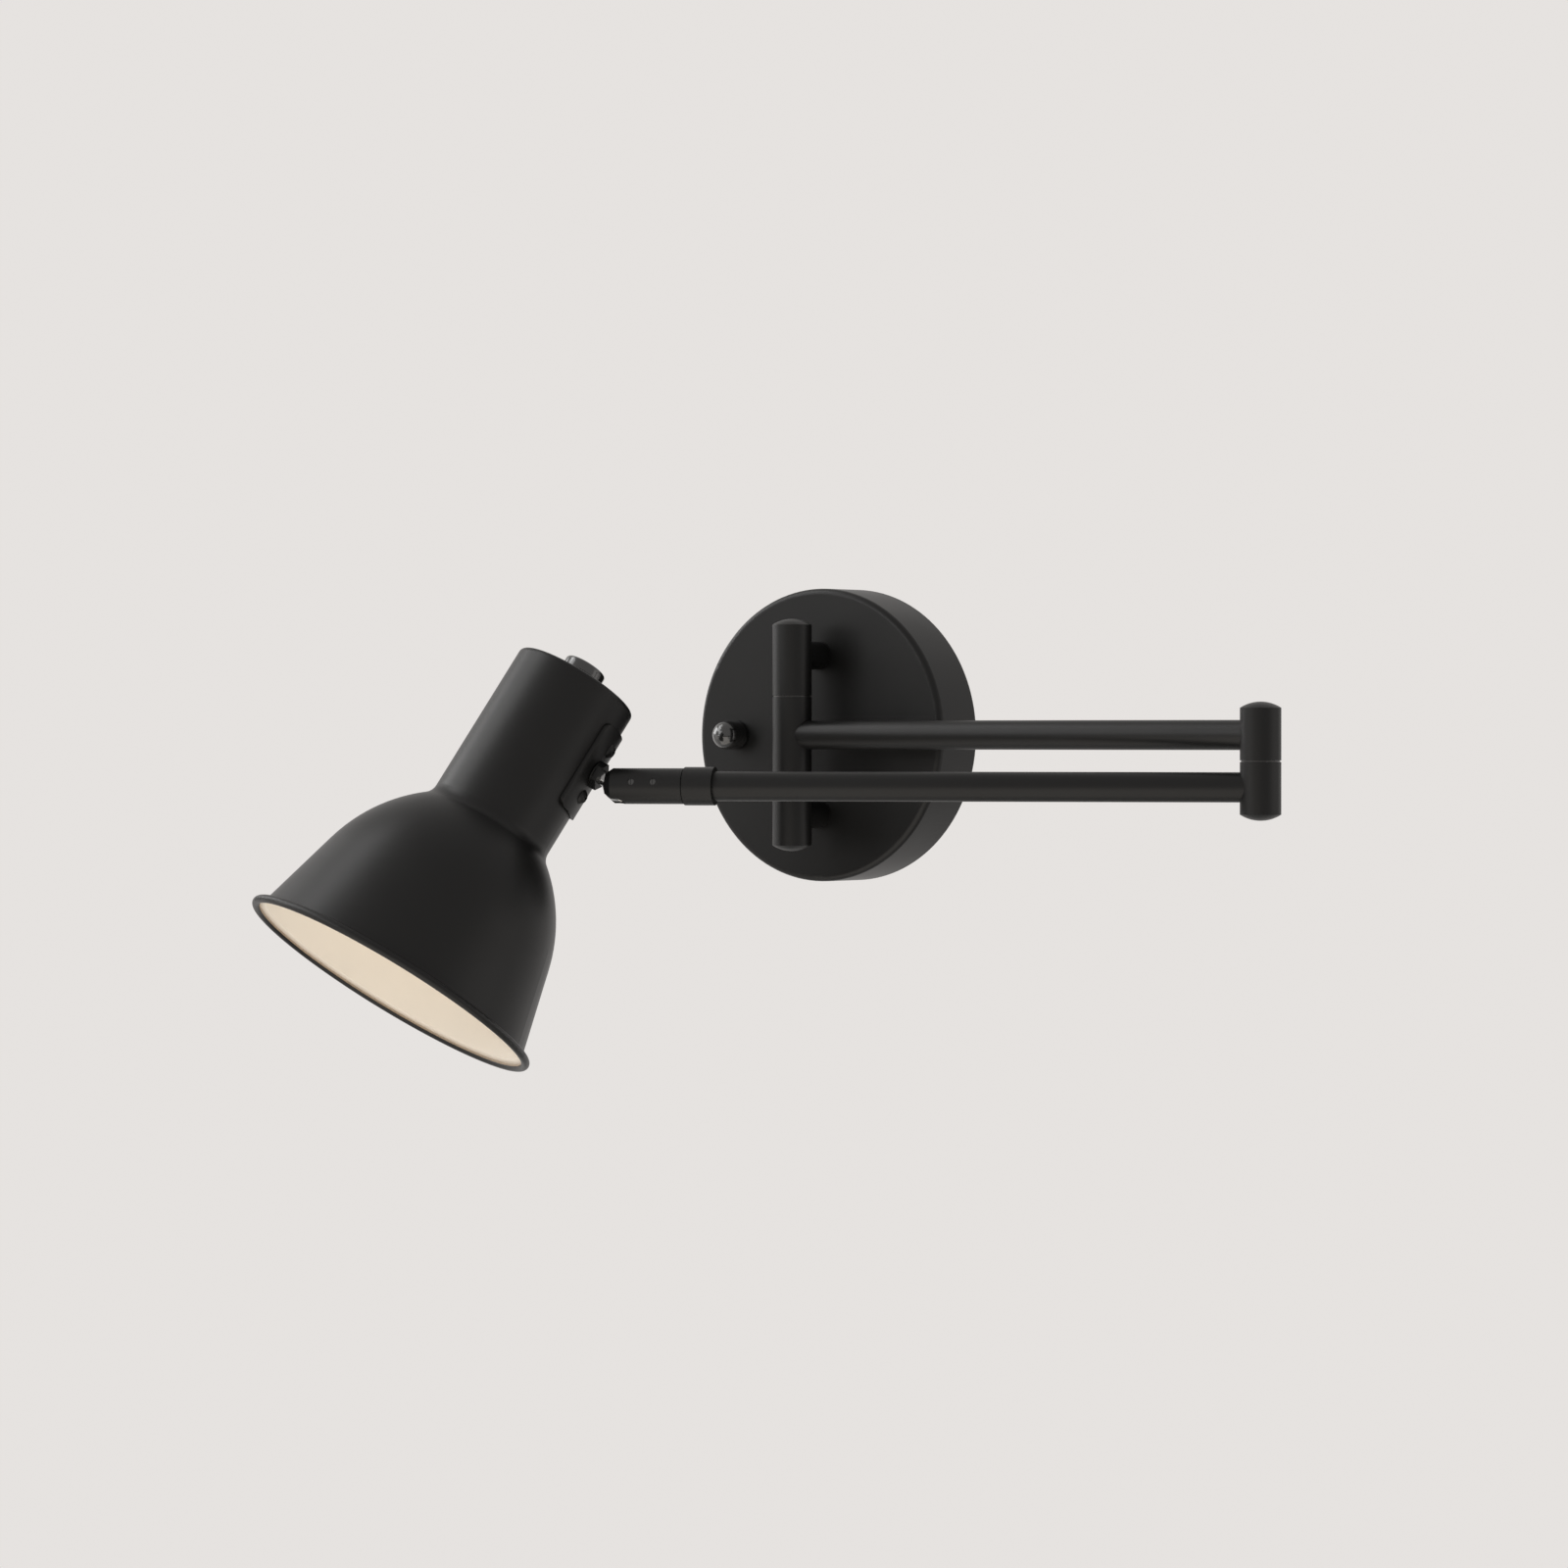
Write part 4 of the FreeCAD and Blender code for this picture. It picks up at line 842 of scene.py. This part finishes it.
class LAMP_OT_threaded_fittings(bpy.types.Operator):
    """Threads of the hollow nipples and of the cap nuts' studs"""

    bl_idname = "lamp.threaded_fittings"
    bl_label = "Threaded fittings"

    def execute(self, context):
        threads = context.scene.lamp_threads
        colour = context.scene.lamp_finishes.steel
        material = metal("plated_thread", colour, roughness=0.34).material
        # each pair is set apart up or along the wall, on either side of its middle
        for name, node, apart, pitch, hole in (
            ("nipple_threads", "post_nipples", UP, threads.nipple_pitch, threads.nipple_bore),
            ("stud_threads", "cap_studs", ALONG, threads.stud_pitch, 0),
        ):
            low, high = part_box(node)
            size = high - low
            radius = size[ALONG if apart == UP else UP] / 2
            reach = size[apart] / 2 - radius
            offset = Vector((0, reach, 0) if apart == UP else (reach, 0, 0))
            wall_end, room_end = threads.end_inset - high.y, -low.y - threads.end_inset
            rods = []
            for side in (-1, 1):
                rod = threaded_rod(name, radius, pitch, wall_end, room_end, hole)
                rod.location = side * offset
                only(rod)
                bpy.ops.object.transform_apply(location=True, rotation=False, scale=False)
                rods.append(rod)
            settle(joined(name, rods), WALL, material, "base", "zinc_steel", node)
        return {"FINISHED"}


class LAMP_OT_knob(bpy.types.Operator):
    """Switch knob with a grooved foot and a rounded top"""

    bl_idname = "lamp.knob"
    bl_label = "Switch knob"

    def execute(self, context):
        sizes = context.scene.lamp_fittings
        radius, top, under = sizes.knob_radius, sizes.knob_top, sizes.knob_under
        edge, groove = sizes.knob_edge, sizes.knob_groove
        foot = under + 2 * groove
        roof = (top + under) / 2
        knob = profile("knob_turned", [
            (0, 0, top),
            *arc((radius - edge, top - edge), edge, 90, 0),
            (radius, 0, foot + groove),
            (radius - groove, 0, foot + groove / 2),
            (radius - groove, 0, foot),
            (radius, 0, foot - groove / 2),
            (radius, 0, under + groove / 2),
            (radius - groove / 2, 0, under),
            (sizes.knob_cavity, 0, under),
            (sizes.knob_cavity, 0, roof),
            (0, 0, roof),
        ])
        wind(knob, 0, 1, ROUND_STEPS)
        face_outwards(knob)
        settle(knob, HEAD, gloss("knob_plastic").material, "knob", "knob_plastic", "switch_knob")
        return {"FINISHED"}


class LAMP_OT_bracket(bpy.types.Operator):
    """Bracket plate bent to the neck, with rolled edges and its three holes"""

    bl_idname = "lamp.bracket"
    bl_label = "Bracket plate"

    def execute(self, context):
        sizes = context.scene.lamp_fittings
        seat = sizes.seat_radius
        outside = seat + sizes.plate_thickness
        # the plate is cut out of a tube about the neck's axis that is twice as long
        reach = sizes.plate_length
        plate = rod_along(outside, (0, 0, -reach), (0, 0, reach), vertices=2 * ROUND_STEPS)
        plate.name = plate.data.name = "plate_formed"
        hollow = rod_along(seat, (0, 0, -2 * reach), (0, 0, 2 * reach), vertices=2 * ROUND_STEPS)
        combine(plate, hollow, "DIFFERENCE")
        near, far = seat / 2, 2 * outside
        outline = rounded_block(
            sizes.plate_width, sizes.plate_length, sizes.plate_corner, near, far,
        )
        combine(plate, outline, "INTERSECT")
        edges = plate.modifiers.new("Edges", "BEVEL")
        edges.width = sizes.plate_edge
        edges.segments = EDGE_STEPS
        edges.limit_method = "ANGLE"
        edges.angle_limit = ROLLED_ANGLE
        apply_modifiers(plate)
        bore(plate, sizes.stem_hole, (near, 0, 0), (far, 0, 0))
        for level in (-sizes.screw_spacing / 2, sizes.screw_spacing / 2):
            bore(plate, sizes.screw_hole, (near, 0, level), (far, 0, level))
        face_outwards(plate)
        ball = HEAD.inverted() @ Vector(JOINTS["head_spin"]["pos_m"])
        place = HEAD @ Matrix.Translation((0, 0, ball.z))
        material = powder_coat("bracket_powder_coat").material
        settle(plate, place, material, "head", "black_paint", "bracket_plate")
        return {"FINISHED"}


# name, share of the light power, size, place, colour
LIGHTS = (
    ("side", 0.85, 0.8, (-1.5, -0.3, 0.5), (1.0, 1.0, 1.0)),
    ("upper_left", 0.75, 0.9, (-1.1, -0.9, 1.0), (1.0, 1.0, 1.0)),
    ("high", 0.3, 0.6, (-0.9, -0.4, 1.3), (1.0, 1.0, 1.0)),
    ("front", 0.45, 0.7, (-0.7, -1.5, 0.5), (1.0, 1.0, 1.0)),
    ("low_left", 0.1, 0.7, (-1.2, -0.9, -0.3), (1.0, 0.94, 0.88)),
    ("low_bounce", 0.32, 0.9, (0.05, -0.5, -0.45), (1.0, 0.93, 0.84)),
    ("wall_bounce", 0.15, 0.8, (1.3, 0.3, -0.1), (1.0, 0.96, 0.92)),
)
# world axis, side of it and strength of the soft light that comes from there
SURROUNDINGS = (
    (0, 1, 0.18),
    (1, -1, 0.04),
    (1, 1, 0.22),
    (2, -1, 0.04),
    (2, 1, 0.32),
)
# what every light is turned towards
LIT_PLACE = Vector((0.02, -0.1, -0.02))


def area_light(name, power, size, place, colour):
    bpy.ops.object.light_add(type="AREA", location=place)
    light = bpy.context.object
    light.name = name
    light.data.energy = power
    light.data.size = size
    light.data.color = colour
    light.rotation_euler = (LIT_PLACE - Vector(place)).to_track_quat("-Z", "Y").to_euler()
    light.visible_camera = False


class LAMP_OT_stage(bpy.types.Operator):
    """Floor, lights, background and the camera"""

    bl_idname = "lamp.stage"
    bl_label = "Stage"

    def execute(self, context):
        stage = context.scene.lamp_stage
        context.scene.view_settings.view_transform = "Standard"
        self.lay_floor(stage)
        self.light(context, stage)
        self.aim_camera(context, stage)
        return {"FINISHED"}

    def lay_floor(self, stage):
        deselect()
        place = (0, 0, -stage.floor_level)
        bpy.ops.mesh.primitive_plane_add(size=stage.floor_size, location=place)
        floor = bpy.context.object
        floor.name = floor.data.name = "floor"
        surface = Surface("floor_paint")
        cloud = surface.noise(size=300 * MM, detail=1.0)
        surface.set(
            Base_Color=surface.mix(cloud, solid(stage.floor_dull), solid(stage.floor_pale)),
            Roughness=0.8,
        )
        seen = surface.add("ShaderNodeLightPath").outputs["Is Camera Ray"]
        share = surface.maths("MULTIPLY", seen, stage.floor_glow)
        lit = surface.shader.outputs[0]
        glow = surface.add("ShaderNodeEmission", {"Color": solid(stage.backdrop)}).outputs[0]
        choice = surface.add("ShaderNodeMixShader", {0: share, 1: lit, 2: glow}).outputs[0]
        surface.feed(surface.tree.nodes["Material Output"].inputs["Surface"], choice)
        floor.data.materials.append(surface.material)

    def light(self, context, stage):
        world = context.scene.world or bpy.data.worlds.new("World")
        context.scene.world = world
        world.use_nodes = True
        nodes = Nodes(world.node_tree)
        nodes.tree.nodes.clear()
        facing = nodes.add("ShaderNodeTexCoord").outputs["Generated"]
        ways = nodes.add("ShaderNodeSeparateXYZ", {0: facing}).outputs
        strength = 0.0
        for axis, side, share in SURROUNDINGS:
            lobe = nodes.maths("MAXIMUM", nodes.maths("MULTIPLY", ways[axis], side), 0.0)
            squared = nodes.maths("POWER", lobe, 2.0)
            strength = nodes.maths("MULTIPLY_ADD", squared, share, strength)
        around = nodes.add("ShaderNodeBackground", {
            "Color": solid(stage.ambient_tint),
            "Strength": nodes.maths("MULTIPLY", strength, stage.ambient),
        }).outputs[0]
        backdrop = nodes.add("ShaderNodeBackground", {"Color": solid(stage.backdrop)}).outputs[0]
        rays = nodes.add("ShaderNodeLightPath").outputs
        shows = nodes.maths("MAXIMUM", rays["Is Camera Ray"], rays["Is Glossy Ray"])
        shows = nodes.maths("MAXIMUM", shows, rays["Is Transmission Ray"])
        choice = nodes.add("ShaderNodeMixShader", {0: shows, 1: around, 2: backdrop}).outputs[0]
        nodes.add("ShaderNodeOutputWorld", {"Surface": choice})
        for name, share, size, place, colour in LIGHTS:
            area_light(name, stage.light_power * share, size, place, colour)

    def aim_camera(self, context, stage):
        ahead = Vector((-math.sin(stage.azimuth), math.cos(stage.azimuth), 0))
        right = Vector((math.cos(stage.azimuth), math.sin(stage.azimuth), 0))
        knuckle = Vector(JOINTS["base_swing"]["pos_m"])
        knuckle.z = 0
        place = knuckle - ahead * stage.distance - right * stage.aside
        bpy.ops.object.camera_add(location=place)
        camera = bpy.context.object
        camera.data.lens = stage.lens
        camera.data.sensor_width = SENSOR_WIDTH
        aim = ahead * math.cos(stage.pitch) - Vector((0, 0, math.sin(stage.pitch)))
        camera.rotation_euler = aim.to_track_quat("-Z", "Y").to_euler()
        camera.data.clip_end = FARTHEST_SEEN
        context.scene.camera = camera


class LAMP_PT_panel(bpy.types.Panel):
    """Lists the lamp's operators and settings"""

    bl_idname = "LAMP_PT_panel"
    bl_label = "Wall lamp"
    bl_space_type = "VIEW_3D"
    bl_region_type = "UI"
    bl_category = "Lamp"

    def draw(self, context):
        for name in GROUPS:
            group = getattr(context.scene, name)
            box = self.layout.box()
            for key in group.bl_rna.properties.keys():
                if key not in ("rna_type", "name"):
                    box.prop(group, key)
        for operator in OPERATORS:
            self.layout.operator(operator.bl_idname)


OPERATORS = (
    LAMP_OT_black_parts,
    LAMP_OT_shade,
    LAMP_OT_gloss_parts,
    LAMP_OT_metal_parts,
    LAMP_OT_insulators,
    LAMP_OT_bulb_thread,
    LAMP_OT_threaded_fittings,
    LAMP_OT_knob,
    LAMP_OT_bracket,
    LAMP_OT_stage,
)
GROUPS = {
    "lamp_paint": LampPaint,
    "lamp_finishes": LampFinishes,
    "lamp_threads": LampThreads,
    "lamp_fittings": LampFittings,
    "lamp_stage": LampStage,
}


def register():
    for kind in (*GROUPS.values(), *OPERATORS, LAMP_PT_panel):
        bpy.utils.register_class(kind)
    for name, group in GROUPS.items():
        setattr(bpy.types.Scene, name, PointerProperty(type=group))


def unregister():
    for name in GROUPS:
        delattr(bpy.types.Scene, name)
    for kind in reversed((*GROUPS.values(), *OPERATORS, LAMP_PT_panel)):
        bpy.utils.unregister_class(kind)


def main():
    register()
    for operator in OPERATORS:
        family, name = operator.bl_idname.split(".")
        getattr(getattr(bpy.ops, family), name)()


if __name__ == "__main__":
    main()
